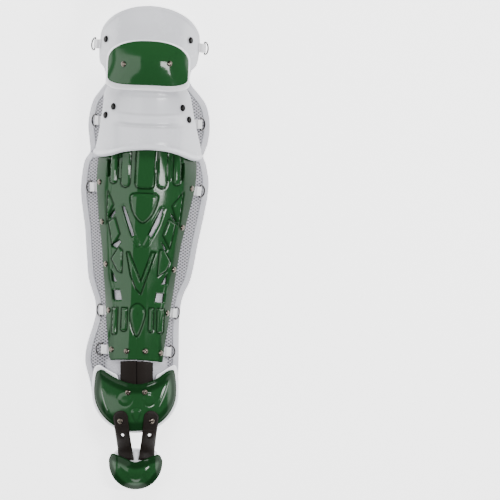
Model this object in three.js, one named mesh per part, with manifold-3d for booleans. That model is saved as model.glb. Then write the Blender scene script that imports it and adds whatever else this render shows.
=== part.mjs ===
// A catcher's leg guard, lying on its back with its front up: thigh end at +Y, toe at -Y.
// Millimetres, +Z up. The origin is under the middle of the guard, on the surface it lies on.
import * as THREE from "three";
import { mergeVertices } from "three/addons/utils/BufferGeometryUtils.js";
import Module from "manifold-3d";

const wasm = await Module();
wasm.setup();

// Padding: one soft form that everything else sits on
const padHalfWidth = 87;
const padCrown = 92;
const padWall = 10;
const hemHeight = 7;
const hemWidth = 10;
const padFullness = 2.2;
const legCentre = -2; // the guard's mid line at the ankle, across from the origin
const padSeam = 0.8; // between the shin padding and the knee padding

const padSplit = 0.969; // where that seam lies, as a share of the shin plate's length
const padToe = { start: -0.16, depth: 40 }; // its rounded foot end
const padTop = { side: 1.3, middle: 1.361 };

// Hard shells
const shellWall = 3;
const layerGap = 0.6; // between a shell and the padding under it
const ribHeight = 2.6;
const steepest = 2.4; // limit of a layer's rise on steep flanks

// Shin plate
const plateBottom = -154.8;
const shinLength = 294;
const plateInset = 18.5; // of its widest edges, from the padding's
const plateHalfWidth = padHalfWidth - plateInset;
const plateBow = 1.8; // of its lower edge

// Knee shell, from its lower lip, which laps over the plate's upper end
const kneeLap = 11;
const kneeLip = plateBottom + shinLength - kneeLap;
const kneeLength = 103;
const kneeInset = 12;
const kneeHalfWidth = padHalfWidth - kneeInset;
const kneeFlare = 9;

// Thigh shell
const thighGap = 1.8; // between the knee shell's top and the thigh shell
const thighBottom = kneeLip + kneeLength + thighGap;
const thighLength = 98.9;
const thighInset = 18;
const thighHalfWidth = padHalfWidth - thighInset;
const thighCrown = 101;

// Knee cap and its padding
const capRise = 23; // of its middle, above the knee shell's top
const capMiddle = kneeLip + kneeLength + capRise;
const capLength = 58;
const capHalfWidth = 55.4;
const capCrown = 112;
const capEdge = 84;
const capFullness = 2.3;
const capFoot = { straight: 0.34, round: 0.245, rise: 0.045, corner: 2.8 }; // shares of its length
const capPadRim = 2.2;
const capPadLip = 7.5;
const capPadWall = 2.4;

// Ankle, in its own frame that leans from the shin's
const ankleLean = 2.3;
const anklePivot = { x: -1.7, y: -155.8 };
const ankleHalfWidth = 57.2;
const ankleLength = 84;
const ankleRound = 9 / 14; // the share of its length that its rounded lower half takes
const ankleCentre = -1.4;
const ankleDip = -31; // the middle of its upper edge
const ankleBelly = -41; // where its rounded lower half begins
const anklePadWall = 5;
const anklePadRim = 2.4;
const anklePadLip = 7;
const bandCentre = 1;
const bandHalfWidth = 22.4;
const bandLength = 35;
const bandNotch = { depth: 24, gap: 0.8, ease: 2 }; // in the padding, round the band

// Toe, in the ankle's frame
const toeTip = -176;
const toeLength = 50;
const toeHalfWidth = 37.2;
const toeCentre = -1;
const toeCrown = 36;
const toeFullness = 2.6;
const toeHem = 9;
const toeRound = 38; // the depth of its rounded tip
const toePadReach = 57; // its upper edge, above the tip
const toePadInset = 3.5;
const toePadDrop = 4;
const toePadEdge = 3;
const strapWidth = 20.4;
const strapSpacing = 43;
const strapTop = -67;
const strapFoot = 41; // a strap's hidden end, above the tip
const strapEnd = toeTip + strapFoot;
const strapLap = 48; // where the straps come out of the toe cap, above its tip
const strapSlope = 33; // the length over which a strap goes down to the toe
const strapHole = { width: 4.8, drop: 34.2, spacing: 0.87 };
const strapRivetDrop = 14;

// Rivets, tabs and rings
const rivetHead = { steel: 7.6, black: 9.4 };
const rivetRise = 1.7;
const rivetInset = 4.4; // from the edge of the plate
const rivetGap = 0.45;
const tabGap = 0.45;
const tabLength = 8;
const tabWidth = 12.4;
const ringWire = 2;
const ringClearance = 0.3;
const ringHalfLength = 8.4;
const ringDepth = 13.2;
const ringNeck = 2.2;
const ringTilt = 6; // degrees, down towards what is under the ring
const knuckleWall = 0.75;
const tabRoot = 0.8; // a tab's height at the shell, as a share of its knuckle's

const white = { color: 0xe9eaec, roughness: 0.7, metalness: 0 };
const mesh = { color: 0xc3c5c9, roughness: 0.9, metalness: 0 };
const grey = { color: 0xd0d2d6, roughness: 0.35, metalness: 0 };
const green = { color: 0x0d5a30, roughness: 0.15, metalness: 0 };
const black = { color: 0x1d1c1c, roughness: 0.4, metalness: 0 };
const steel = { color: 0xb9bbbd, roughness: 0.25, metalness: 1 };

// Rows run up the leg. up: share of the shin plate's length from its bottom; left, right, centre:
// shares of the padding's half width; crown: share of the padding's crown; hem: share of hemHeight.
const legRows = [
  { up: -0.333, left: -0.564, right: 0.586, centre: 0.011, crown: 0.435, hem: 1 },
  { up: -0.259, left: -0.644, right: 0.62, centre: 0.002, crown: 0.5, hem: 1 },
  { up: -0.16, left: -0.695, right: 0.637, centre: -0.012, crown: 0.543, hem: 1 },
  { up: -0.105, left: -0.734, right: 0.641, centre: -0.021, crown: 0.576, hem: 1 },
  { up: -0.02, left: -0.818, right: 0.643, centre: -0.024, crown: 0.625, hem: 1 },
  { up: 0.027, left: -0.824, right: 0.641, centre: -0.024, crown: 0.647, hem: 1 },
  { up: 0.085, left: -0.791, right: 0.634, centre: -0.023, crown: 0.668, hem: 1 },
  { up: 0.16, left: -0.721, right: 0.626, centre: -0.02, crown: 0.69, hem: 1 },
  { up: 0.218, left: -0.684, right: 0.627, centre: -0.018, crown: 0.707, hem: 1 },
  { up: 0.276, left: -0.705, right: 0.643, centre: -0.016, crown: 0.723, hem: 1 },
  { up: 0.323, left: -0.76, right: 0.683, centre: -0.015, crown: 0.739, hem: 1 },
  { up: 0.384, left: -0.825, right: 0.77, centre: -0.014, crown: 0.755, hem: 1 },
  { up: 0.456, left: -0.856, right: 0.821, centre: -0.012, crown: 0.777, hem: 1 },
  { up: 0.541, left: -0.886, right: 0.861, centre: -0.009, crown: 0.804, hem: 1 },
  { up: 0.612, left: -0.911, right: 0.902, centre: 0, crown: 0.826, hem: 1 },
  { up: 0.707, left: -0.965, right: 0.957, centre: 0.01, crown: 0.859, hem: 1 },
  { up: 0.785, left: -1, right: 0.995, centre: 0.018, crown: 0.884, hem: 1 },
  { up: 0.857, left: -0.994, right: 1, centre: 0.025, crown: 0.908, hem: 1 },
  { up: 0.932, left: -0.955, right: 0.948, centre: 0.031, crown: 0.929, hem: 1 },
  { up: 0.969, left: -0.88, right: 0.904, centre: 0.031, crown: 0.94, hem: 1 },
  { up: 1.024, left: -0.895, right: 0.959, centre: 0.029, crown: 0.951, hem: 1 },
  { up: 1.092, left: -0.925, right: 0.985, centre: 0.023, crown: 0.967, hem: 1 },
  { up: 1.16, left: -0.906, right: 0.965, centre: 0.012, crown: 0.984, hem: 1.3 },
  { up: 1.218, left: -0.849, right: 0.896, centre: 0.002, crown: 0.995, hem: 2.8 },
  { up: 1.262, left: -0.743, right: 0.775, centre: -0.008, crown: 1, hem: 4.8 },
  { up: 1.299, left: -0.656, right: 0.666, centre: -0.013, crown: 1, hem: 6.8 },
  { up: 1.361, left: -0.621, right: 0.586, centre: -0.014, crown: 1, hem: 8 },
];

// The plate's edges, as shares of its own half width
const plateRows = [
  { up: 0, left: -0.541, right: 0.509 },
  { up: 0.032, left: -0.577, right: 0.52 },
  { up: 0.092, left: -0.605, right: 0.545 },
  { up: 0.173, left: -0.653, right: 0.593 },
  { up: 0.316, left: -0.709, right: 0.665 },
  { up: 0.412, left: -0.754, right: 0.709 },
  { up: 0.534, left: -0.808, right: 0.777 },
  { up: 0.639, left: -0.877, right: 0.865 },
  { up: 0.735, left: -0.925, right: 0.948 },
  { up: 0.805, left: -0.957, right: 1.01 },
  { up: 0.878, left: -0.963, right: 1.036 },
  { up: 0.949, left: -0.939, right: 1.02 },
  { up: 1, left: -0.906, right: 0.985 },
];

// The knee shell's edges as shares of its half width, and its lift off the padding as a share of the
// flare. up: share of the knee shell's length from its lip.
const kneeRows = [
  { up: -0.08, left: -0.97, right: 1.035, lift: 1.05 },
  { up: 0, left: -0.961, right: 1.039, lift: 1 },
  { up: 0.136, left: -0.91, right: 0.999, lift: 0.84 },
  { up: 0.252, left: -0.881, right: 0.959, lift: 0.6 },
  { up: 0.476, left: -0.841, right: 0.879, lift: 0.2 },
  { up: 0.68, left: -0.814, right: 0.819, lift: 0 },
  { up: 0.816, left: -0.803, right: 0.773, lift: 0 },
  { up: 0.942, left: -0.717, right: 0.677, lift: 0 },
  { up: 1, left: -0.681, right: 0.639, lift: 0 },
];
// The knee shell's lower edge: a share of the shell's length, above the lip
const kneeLipRows = [
  { across: -1, rise: 0.0 },
  { across: -0.9, rise: -0.034 },
  { across: -0.7, rise: -0.02 },
  { across: -0.45, rise: 0.028 },
  { across: 0, rise: 0.064 },
  { across: 0.35, rise: 0.05 },
  { across: 0.6, rise: 0.012 },
  { across: 0.88, rise: -0.046 },
  { across: 1, rise: -0.01 },
];

// The thigh shell. up: share of its length; edges: shares of its half width; crown and edge: shares of
// its crown.
const thighRows = [
  { up: 0, left: -0.84, right: 0.815, crown: 0.949, edge: 0.66 },
  { up: 0.13, left: -0.9, right: 0.85, crown: 0.958, edge: 0.6 },
  { up: 0.2, left: -0.978, right: 0.935, crown: 0.975, edge: 0.53 },
  { up: 0.33, left: -1.005, right: 0.978, crown: 0.99, edge: 0.49 },
  { up: 0.5, left: -0.995, right: 0.989, crown: 1, edge: 0.475 },
  { up: 0.72, left: -0.985, right: 0.98, crown: 0.97, edge: 0.47 },
  { up: 0.87, left: -0.985, right: 0.98, crown: 0.91, edge: 0.46 },
  { up: 1, left: -0.985, right: 0.98, crown: 0.83, edge: 0.44 },
];
const thighArch = { start: 0.57, fullness: 2.4 }; // where its rounded top begins

// The knee cap's height along its length, as shares of its crown
const capRows = [
  { up: -0.08, crown: 0.915 },
  { up: 0, crown: 0.93 },
  { up: 0.25, crown: 0.972 },
  { up: 0.52, crown: 1 },
  { up: 0.78, crown: 0.992 },
  { up: 1, crown: 0.97 },
  { up: 1.08, crown: 0.962 },
];

// The ankle shell's upper edge, as a share of its length above its middle dip
const ankleTopRows = [
  { across: -1, rise: -0.06 },
  { across: -0.96, rise: 0.16 },
  { across: -0.84, rise: 0.238 },
  { across: -0.68, rise: 0.18 },
  { across: -0.48, rise: 0.105 },
  { across: -0.2, rise: 0.03 },
  { across: 0.06, rise: 0 },
  { across: 0.33, rise: 0.03 },
  { across: 0.56, rise: 0.1 },
  { across: 0.76, rise: 0.19 },
  { across: 0.88, rise: 0.23 },
  { across: 0.96, rise: 0.2 },
  { across: 1, rise: -0.02 },
];

// The toe cap's upper edge and its height, as shares of its length and crown
const toeTopRows = [
  { across: -1, rise: 0.84 },
  { across: -0.9, rise: 0.99 },
  { across: -0.75, rise: 0.965 },
  { across: -0.5, rise: 0.9 },
  { across: 0, rise: 0.766 },
  { across: 0.5, rise: 0.88 },
  { across: 0.75, rise: 0.945 },
  { across: 0.9, rise: 0.95 },
  { across: 1, rise: 0.8 },
];
const toeRows = [
  { up: 0, crown: 0.38 },
  { up: 0.12, crown: 0.6 },
  { up: 0.3, crown: 0.83 },
  { up: 0.55, crown: 0.97 },
  { up: 0.8, crown: 1 },
  { up: 1.1, crown: 0.97 },
];

// A strap's mid line and half width. up: share of the way from its hidden end to its
// rounded top; centre: share of half the spacing; half: share of half the width.
const strapRows = [
  { up: 0, centre: 0.64, half: 1.07 },
  { up: 0.15, centre: 0.71, half: 1.02 },
  { up: 0.4, centre: 0.815, half: 0.97 },
  { up: 0.62, centre: 0.91, half: 0.98 },
  { up: 0.85, centre: 1, half: 1.01 },
  { up: 1, centre: 1, half: 1.01 },
];
// Raised ribs and pierced windows of the plate. across: shares of its half width; up: shares of its
// length.
const ribs = [
  { name: "middle", left: -0.17, right: 0.206, low: 0.806, high: 0.972 },
  { name: "inner left", left: -0.47, right: -0.273, low: 0.813, high: 0.955 },
  { name: "inner right", left: 0.275, right: 0.452, low: 0.806, high: 0.955 },
  { name: "outer left", left: -0.672, right: -0.55, low: 0.825, high: 0.935 },
  { name: "outer right", left: 0.605, right: 0.705, low: 0.827, high: 0.94 },
  { name: "low outer left", left: -0.53, right: -0.437, low: 0.125, high: 0.242 },
  { name: "low inner left", left: -0.355, right: -0.235, low: 0.139, high: 0.24 },
  { name: "low inner right", left: 0.215, right: 0.3, low: 0.139, high: 0.245 },
  { name: "low outer right", left: 0.37, right: 0.478, low: 0.136, high: 0.245 },
];
const lobes = [
  { name: "shield", centre: 0.006, half: 0.27, low: 0.646, high: 0.779, widest: 0.8 },
  { name: "teardrop", centre: -0.028, half: 0.153, low: 0.11, high: 0.267, widest: 0.66 },
];
const windows = [
  { name: "long left", corners: [[-0.43, 0.717], [-0.385, 0.719], [-0.163, 0.585], [-0.212, 0.578]] },
  { name: "long right", corners: [[0.418, 0.714], [0.377, 0.712], [0.144, 0.588], [0.185, 0.581]] },
  { name: "square left", corners: [[-0.547, 0.326], [-0.414, 0.327], [-0.376, 0.283], [-0.522, 0.28]] },
  { name: "square right", corners: [[0.353, 0.319], [0.497, 0.318], [0.482, 0.277], [0.329, 0.279]] },
  { name: "low tooth left", corners: [[-0.593, 0.419], [-0.487, 0.368], [-0.554, 0.366]] },
  { name: "low tooth right", corners: [[0.541, 0.411], [0.529, 0.363], [0.445, 0.361]] },
  { name: "high slit left", corners: [[-0.677, 0.666], [-0.582, 0.702], [-0.569, 0.688], [-0.646, 0.661]] },
  { name: "high slit right", corners: [[0.574, 0.689], [0.607, 0.685], [0.672, 0.657], [0.652, 0.656]] },
  { name: "mid slit left", corners: [[-0.614, 0.536], [-0.465, 0.561], [-0.437, 0.551], [-0.52, 0.524]] },
  { name: "mid slit right", corners: [[0.414, 0.555], [0.446, 0.548], [0.512, 0.522], [0.481, 0.522]] },
];

// Where the rivets, tabs and rings sit
const edgeRivets = [
  { side: -1, up: 0.829 },
  { side: -1, up: 0.644 },
  { side: -1, up: 0.448 },
  { side: -1, up: 0.233 },
  { side: -1, up: 0.051 },
  { side: 1, up: 0.815 },
  { side: 1, up: 0.631 },
  { side: 1, up: 0.434 },
  { side: 1, up: 0.23 },
  { side: 1, up: 0.042 },
];
const shellRivets = [
  { name: "rivet_plate_low_left", on: "plate", across: -0.218, up: 0.046, finish: "steel" },
  { name: "rivet_plate_low_right", on: "plate", across: 0.151, up: 0.049, finish: "steel" },
  { name: "rivet_cap_left", on: "cap", across: -0.617, up: 0.44, finish: "steel" },
  { name: "rivet_cap_right", on: "cap", across: 0.511, up: 0.49, finish: "steel" },
  { name: "rivet_thigh_left", on: "thigh", across: -0.872, up: 0.523, finish: "black" },
  { name: "rivet_thigh_right", on: "thigh", across: 0.802, up: 0.55, finish: "black" },
  { name: "rivet_knee_high_left", on: "knee", across: -0.615, up: 0.626, finish: "black" },
  { name: "rivet_knee_high_right", on: "knee", across: 0.642, up: 0.642, finish: "black" },
  { name: "rivet_knee_low_left", on: "knee", across: -0.755, up: 0.512, finish: "black" },
  { name: "rivet_knee_low_right", on: "knee", across: 0.765, up: 0.49, finish: "black" },
  { name: "rivet_ankle_left", on: "ankle", across: -0.19, up: -0.125, finish: "steel" },
  { name: "rivet_ankle_right", on: "ankle", across: 0.21, up: -0.12, finish: "steel" },
];
const fastenings = [
  { place: "thigh", on: "thigh", up: 0.455 },
  { place: "knee", on: "knee", up: 0.44 },
  { place: "calf", on: "plate", up: 0.805 },
  { place: "shin", on: "plate", up: 0.232 },
  { place: "foot", on: "plate", up: 0.05 },
];

// Curve and surface helpers

// A smooth curve through the rows' values of one column
function track(rows, at, key) {
  const t = rows.map((row) => row[at]);
  const v = rows.map((row) => row[key]);
  const last = rows.length - 1;
  const slope = v.map((_, i) => {
    const a = Math.max(0, i - 1);
    const b = Math.min(last, i + 1);
    return (v[b] - v[a]) / (t[b] - t[a]);
  });
  return (x) => {
    if (x <= t[0]) return v[0];
    if (x >= t[last]) return v[last];
    let i = 0;
    while (x > t[i + 1]) i += 1;
    const h = t[i + 1] - t[i];
    const s = (x - t[i]) / h;
    const rest = 1 - s;
    return (
      rest * rest * (1 + 2 * s) * v[i] +
      s * s * (3 - 2 * s) * v[i + 1] +
      s * rest * rest * h * slope[i] -
      s * s * rest * h * slope[i + 1]
    );
  };
}

const dome = (u, power) => (1 - Math.abs(u) ** power) ** (1 / power);
const mix = (a, b, t) => a + (b - a) * t;
const smooth = (t) => {
  const c = Math.min(1, Math.max(0, t));
  return c * c * (3 - 2 * c);
};

// A surface z(x, y) lifted by a distance measured square to it
function lifted(z, lift) {
  const step = 0.5;
  return (x, y) => {
    const dx = (z(x + step, y) - z(x - step, y)) / (2 * step);
    const dy = (z(x, y + step) - z(x, y - step)) / (2 * step);
    return z(x, y) + lift * Math.min(steepest, Math.hypot(dx, dy, 1));
  };
}

// An arch whose height falls from its centre line to its two edges
function arch({ left, right, centre, crown, edge, fullness }) {
  const z = (x, y) => {
    const c = centre(y);
    const reach = x < c ? c - left(y) : right(y) - c;
    const s = Math.abs(x - c) / reach;
    return edge(y) + (crown(y) - edge(y)) * (1 - s ** fullness);
  };
  return { left, right, centre, z };
}

// The point that lies a share u of the way from the centre line to an edge, at y
function across(form, u, y) {
  const c = form.centre(y);
  return u < 0 ? c + u * (c - form.left(y)) : c + u * (form.right(y) - c);
}

// Columns of a patch, closer together towards its edges
function columns(count) {
  return Array.from({ length: count + 1 }, (_, i) => Math.sin(((i / count) * 2 - 1) * Math.PI * 0.5));
}

function shares(count) {
  return Array.from({ length: count + 1 }, (_, j) => j / count);
}

const evenly = (count) => shares(count).map((t) => 2 * t - 1);

// A closed body between an upper and a lower grid of points
function closeGrids(upper, lower) {
  const rows = upper.length;
  const cols = upper[0].length;
  const points = [...upper.flat(), ...lower.flat()];
  const top = (j, i) => j * cols + i;
  const low = (j, i) => rows * cols + j * cols + i;
  const faces = [];
  const quad = (a, b, c, d) => faces.push(a, b, c, a, c, d);
  for (let j = 0; j < rows - 1; j += 1) {
    for (let i = 0; i < cols - 1; i += 1) {
      quad(top(j, i), top(j, i + 1), top(j + 1, i + 1), top(j + 1, i));
      faces.push(low(j, i), low(j + 1, i + 1), low(j, i + 1));
      faces.push(low(j, i), low(j + 1, i), low(j + 1, i + 1));
    }
    quad(top(j, 0), top(j + 1, 0), low(j + 1, 0), low(j, 0));
    quad(top(j + 1, cols - 1), top(j, cols - 1), low(j, cols - 1), low(j + 1, cols - 1));
  }
  for (let i = 0; i < cols - 1; i += 1) {
    quad(top(0, i + 1), top(0, i), low(0, i), low(0, i + 1));
    quad(top(rows - 1, i), top(rows - 1, i + 1), low(rows - 1, i + 1), low(rows - 1, i));
  }
  const geometry = new THREE.BufferGeometry().setFromPoints(points.map((p) => new THREE.Vector3(...p)));
  geometry.setIndex(faces);
  return geometry;
}

// A shell between two surfaces over a patch of the plan
function shell({ us, vs, plan, upper, lower }) {
  const grid = (z) => vs.map((v) => us.map((u) => {
    const [x, y] = plan(u, v);
    return [x, y, z(x, y)];
  }));
  return closeGrids(grid(upper), grid(lower));
}

// Joining and cutting

function toSolid(geometry) {
  const bare = geometry.clone();
  bare.deleteAttribute("normal");
  bare.deleteAttribute("uv");
  const merged = mergeVertices(bare, 1e-3);
  return new wasm.Manifold(
    new wasm.Mesh({
      numProp: 3,
      vertProperties: merged.attributes.position.array,
      triVerts: new Uint32Array(merged.index.array),
    }),
  );
}

function toGeometry(solid) {
  const { vertProperties, triVerts } = solid.getMesh();
  const geometry = new THREE.BufferGeometry();
  geometry.setAttribute("position", new THREE.BufferAttribute(vertProperties, 3));
  geometry.setIndex(new THREE.BufferAttribute(triVerts, 1));
  return geometry;
}

const prismHeight = 160;
function prism(points) {
  const outline = new THREE.Shape(points.map(([x, y]) => new THREE.Vector2(x, y)));
  return toSolid(new THREE.ExtrudeGeometry(outline, { depth: prismHeight, bevelEnabled: false }));
}

// The forms

const legUp = (y) => (y - plateBottom) / shinLength;
const legY = (up) => plateBottom + up * shinLength;
const legTrack = (key, size) => {
  const curve = track(legRows, "up", key);
  return (y) => curve(legUp(y)) * size;
};
const legHem = legTrack("hem", hemHeight);
const leg = arch({
  left: legTrack("left", padHalfWidth),
  right: legTrack("right", padHalfWidth),
  centre: legTrack("centre", padHalfWidth),
  crown: legTrack("crown", padCrown),
  edge: legHem,
  fullness: padFullness,
});
const onPad = lifted(leg.z, layerGap);

const plateTrack = (key) => {
  const curve = track(plateRows, "up", key);
  return (y) => curve(legUp(y)) * plateHalfWidth;
};
const plate = { left: plateTrack("left"), right: plateTrack("right"), centre: leg.centre };
const plateOuter = lifted(leg.z, layerGap + shellWall);

const kneeTrack = (key, size) => {
  const curve = track(kneeRows, "up", key);
  return (y) => curve((y - kneeLip) / kneeLength) * size;
};
const knee = {
  left: kneeTrack("left", kneeHalfWidth),
  right: kneeTrack("right", kneeHalfWidth),
  centre: leg.centre,
};
const kneeLift = kneeTrack("lift", kneeFlare);
const kneeInner = (x, y) => onPad(x, y) + kneeLift(y);
const kneeOuter = (x, y) => plateOuter(x, y) + kneeLift(y);

const thighTrack = (key, size) => {
  const curve = track(thighRows, "up", key);
  return (y) => curve((y - thighBottom) / thighLength) * size;
};
const thigh = arch({
  left: thighTrack("left", thighHalfWidth),
  right: thighTrack("right", thighHalfWidth),
  centre: () => legCentre / 2,
  crown: thighTrack("crown", thighCrown),
  edge: thighTrack("edge", thighCrown),
  fullness: thighArch.fullness,
});

const capUp = (y) => (y - capMiddle) / capLength + 0.5;
const capCurve = track(capRows, "up", "crown");
const cap = arch({
  left: () => legCentre / 2 - capHalfWidth,
  right: () => legCentre / 2 + capHalfWidth,
  centre: () => legCentre / 2,
  crown: (y) => capCurve(capUp(y)) * capCrown,
  edge: () => capEdge,
  fullness: capFullness,
});

// The ankle's frame leans about its pivot, and its pieces follow the padding's form there
const lean = THREE.MathUtils.degToRad(ankleLean);
const ankleToLeg = (a, b) => [
  anklePivot.x + a * Math.cos(lean) - b * Math.sin(lean),
  anklePivot.y + a * Math.sin(lean) + b * Math.cos(lean),
];
const legToAnkle = (x, y) => {
  const dx = x - anklePivot.x;
  const dy = y - anklePivot.y;
  return [dx * Math.cos(lean) + dy * Math.sin(lean), dy * Math.cos(lean) - dx * Math.sin(lean)];
};
const ankleOver = lifted(leg.z, layerGap + anklePadWall);
const ankleInner = lifted(leg.z, 2 * layerGap + anklePadWall);
const ankleOuter = lifted(leg.z, 2 * layerGap + anklePadWall + shellWall);

const toeUp = (b) => (b - toeTip) / toeLength;
const toeCurve = track(toeRows, "up", "crown");
const toeForm = arch({
  left: () => toeCentre - toeHalfWidth,
  right: () => toeCentre + toeHalfWidth,
  centre: () => toeCentre,
  crown: (b) => toeCurve(toeUp(b)) * toeCrown,
  edge: (b) => Math.min(toeHem + shellWall, toeCurve(toeUp(b)) * toeCrown),
  fullness: toeFullness,
});
const toeOuter = toeForm.z;
const toeInner = (a, b) => toeForm.z(a, b) - shellWall * 1.2;
const toePadTop = (a, b) => toeInner(a, b) - shellWall - 2 * layerGap;

// The pieces

const root = new THREE.Group();
root.name = "leg_guard";
const guard = new THREE.Group();
root.add(guard);

function add(name, geometry, finish) {
  const piece = new THREE.Mesh(geometry, new THREE.MeshStandardMaterial(finish));
  piece.name = name;
  guard.add(piece);
  return piece;
}

// Padding whose hems lie flat on the surface, between two ends given by y(u)
function padding({ us, vs, form, low, high, hem }) {
  const upper = [];
  const lower = [];
  const step = 0.5;
  for (const v of vs) {
    const outerRow = [];
    const innerRow = [];
    us.forEach((u, i) => {
      const y = mix(low(u), high(u), v);
      const x = across(form, u, y);
      const z = form.z(x, y);
      const bottom = Math.max(0, hem(y) - hemHeight);
      outerRow.push([x, y, z]);
      const side = Math.sign(u);
      if (i === 0 || i === us.length - 1) {
        innerRow.push([x, y, bottom]);
      } else if (i === 1 || i === us.length - 2) {
        innerRow.push([across(form, side, y) - side * hemWidth, y, bottom]);
      } else {
        const slope = (form.z(x + step, y) - form.z(x - step, y)) / (2 * step);
        const length = Math.hypot(slope, 1);
        innerRow.push([
          x + (slope / length) * padWall,
          y,
          Math.max(bottom, z - padWall / length),
        ]);
      }
    });
    upper.push(outerRow);
    lower.push(innerRow);
  }
  return closeGrids(upper, lower);
}

const padColumns = [-1, -0.97, -0.87, -0.72, -0.55, -0.35, -0.12, 0.12, 0.35, 0.55, 0.72, 0.87, 0.97, 1];
const shinPadEnd = legY(padSplit);
add(
  "shin_pad",
  padding({
    us: padColumns,
    vs: shares(22),
    form: leg,
    low: (u) => legY(padToe.start) - padToe.depth * dome(u, 2),
    high: () => shinPadEnd,
    hem: legHem,
  }),
  mesh,
);
add(
  "knee_pad",
  padding({
    us: padColumns,
    vs: shares(9),
    form: leg,
    low: () => shinPadEnd + padSeam,
    high: (u) => legY(mix(padTop.side, padTop.middle, dome(u, 3))),
    hem: legHem,
  }),
  mesh,
);

// The shin plate: its shell, raised ribs and pierced windows
const plateX = (share) => share * plateHalfWidth;
const plateLow = (u) => plateBottom + plateBow * (1 - u * u);
function plateShell(upper, lower, high) {
  return toSolid(
    shell({
      us: evenly(16),
      vs: shares(18),
      plan: (u, v) => {
        const y = mix(plateLow(u), high, v);
        return [across(plate, u, y), y];
      },
      upper,
      lower,
    }),
  );
}
function ribOutline({ left, right, low, high }) {
  const x0 = plateX(left);
  const x1 = plateX(right);
  const y0 = legY(low);
  const y1 = legY(high);
  const round = Math.min(0.5 * (x1 - x0), 0.4 * (y1 - y0));
  return [
    [x0, y0 + round],
    [x0 + round * 0.3, y0 + round * 0.3],
    [x0 + round, y0],
    [x1 - round, y0],
    [x1 - round * 0.3, y0 + round * 0.3],
    [x1, y0 + round],
    [x1, y1],
    [x0, y1],
  ];
}
function lobeOutline({ centre, half, low, high, widest }) {
  const sides = [0.12, 0.35, 0.6, 0.8, 0.94];
  const width = (t) => Math.sin(Math.PI * t ** (Math.log(0.5) / Math.log(widest))) ** 0.75;
  const point = (t, side) => [plateX(centre + side * half * width(t)), legY(mix(low, high, t))];
  const right = sides.map((t) => point(t, 1));
  const left = [...sides].reverse().map((t) => point(t, -1));
  return [[plateX(centre), legY(low)], ...right, [plateX(centre), legY(high)], ...left];
}
const ribBlocks = [...ribs.map(ribOutline), ...lobes.map(lobeOutline)].map(prism);
const ribTops = lifted(leg.z, layerGap + shellWall + ribHeight);
const plateCore = lifted(leg.z, layerGap + shellWall / 2);
const ribBand = plateShell(ribTops, plateCore, legY(1));
let shinPlate = plateShell(plateOuter, onPad, legY(1));
for (const block of ribBlocks) shinPlate = shinPlate.add(ribBand.intersect(block));
for (const { corners } of windows) {
  const outline = corners.map(([x, up]) => [plateX(x), legY(up)]);
  const turned = THREE.ShapeUtils.area(outline.map(([x, y]) => new THREE.Vector2(x, y))) < 0;
  shinPlate = shinPlate.subtract(prism(turned ? outline.reverse() : outline));
}
add("shin_plate", toGeometry(shinPlate), green);

// The knee shell, flared over the top of the plate
const kneeLipCurve = track(kneeLipRows, "across", "rise");
const kneeLow = (u) => kneeLip + kneeLipCurve(u) * kneeLength;
const kneeHigh = kneeLip + kneeLength;
add(
  "knee_shell",
  shell({
    us: evenly(16),
    vs: shares(7),
    plan: (u, v) => {
      const y = mix(kneeLow(u), kneeHigh, v);
      return [across(knee, u, y), y];
    },
    upper: kneeOuter,
    lower: kneeInner,
  }),
  grey,
);

// The thigh shell, rounded at its top
const thighInner = (x, y) => thigh.z(x, y) - (lifted(thigh.z, shellWall)(x, y) - thigh.z(x, y));
const thighArchStart = thighBottom + thighArch.start * thighLength;
add(
  "thigh_shell",
  shell({
    us: columns(14),
    vs: shares(8),
    plan: (u, v) => {
      const top = thighArchStart + (thighLength * (1 - thighArch.start)) * dome(u, 2);
      const y = mix(thighBottom, top, v);
      return [across(thigh, u, y), y];
    },
    upper: thigh.z,
    lower: thighInner,
  }),
  grey,
);

// The knee cap on its padding, over the ends of both shells
const capBottom = (u) => {
  const depth = capFoot.straight + capFoot.round * dome(u, capFoot.corner) - capFoot.rise * (1 - u * u) ** 2;
  return capMiddle - capLength * depth;
};
const capTop = (u) => capMiddle + 0.5 * capLength * dome(u, 2.3);
const capUnder = lifted(cap.z, -shellWall);
const capPadOver = lifted(cap.z, -shellWall - layerGap);
const capPadUnder = (x, y) => Math.max(lifted(thigh.z, layerGap)(x, y), layerGap + kneeOuter(x, y));
function capPatch(rim, lip) {
  return (u, v) => {
    const grown = 1 + rim / capHalfWidth;
    const x = cap.centre(0) + u * capHalfWidth * grown;
    return [x, mix(capBottom(u) - lip, capTop(u) + rim, v)];
  };
}
add(
  "knee_cap",
  shell({ us: columns(12), vs: shares(6), plan: capPatch(0, 0), upper: cap.z, lower: capUnder }),
  green,
);
add(
  "knee_cap_pad",
  shell({
    us: columns(12),
    vs: shares(7),
    plan: capPatch(capPadRim, capPadLip),
    upper: (x, y) => Math.max(capPadOver(x, y), capPadUnder(x, y) + capPadWall),
    lower: capPadUnder,
  }),
  white,
);

// The ankle: band, padding and shell
const inAnkle = (plan) => (u, v) => ankleToLeg(...plan(u, v));
const bandHigh = (u) => 1.2 - 1.2 * u * u - 0.9 * u;
add(
  "ankle_band",
  shell({
    us: evenly(4),
    vs: shares(3),
    plan: inAnkle((u, v) => [bandCentre + u * bandHalfWidth, mix(-bandLength, bandHigh(u), v)]),
    upper: plateOuter,
    lower: onPad,
  }),
  black,
);
const ankleTopCurve = track(ankleTopRows, "across", "rise");
const ankleTop = (u) => ankleDip + ankleTopCurve(u) * ankleLength;
const ankleBottom = (u) => ankleBelly - ankleRound * ankleLength * dome(u, 2);
add(
  "ankle_shell",
  shell({
    us: columns(14),
    vs: shares(7),
    plan: inAnkle((u, v) => [ankleCentre + u * ankleHalfWidth, mix(ankleBottom(u), ankleTop(u), v)]),
    upper: ankleOuter,
    lower: ankleInner,
  }),
  green,
);
const anklePadHalf = ankleHalfWidth + anklePadRim;
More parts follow.
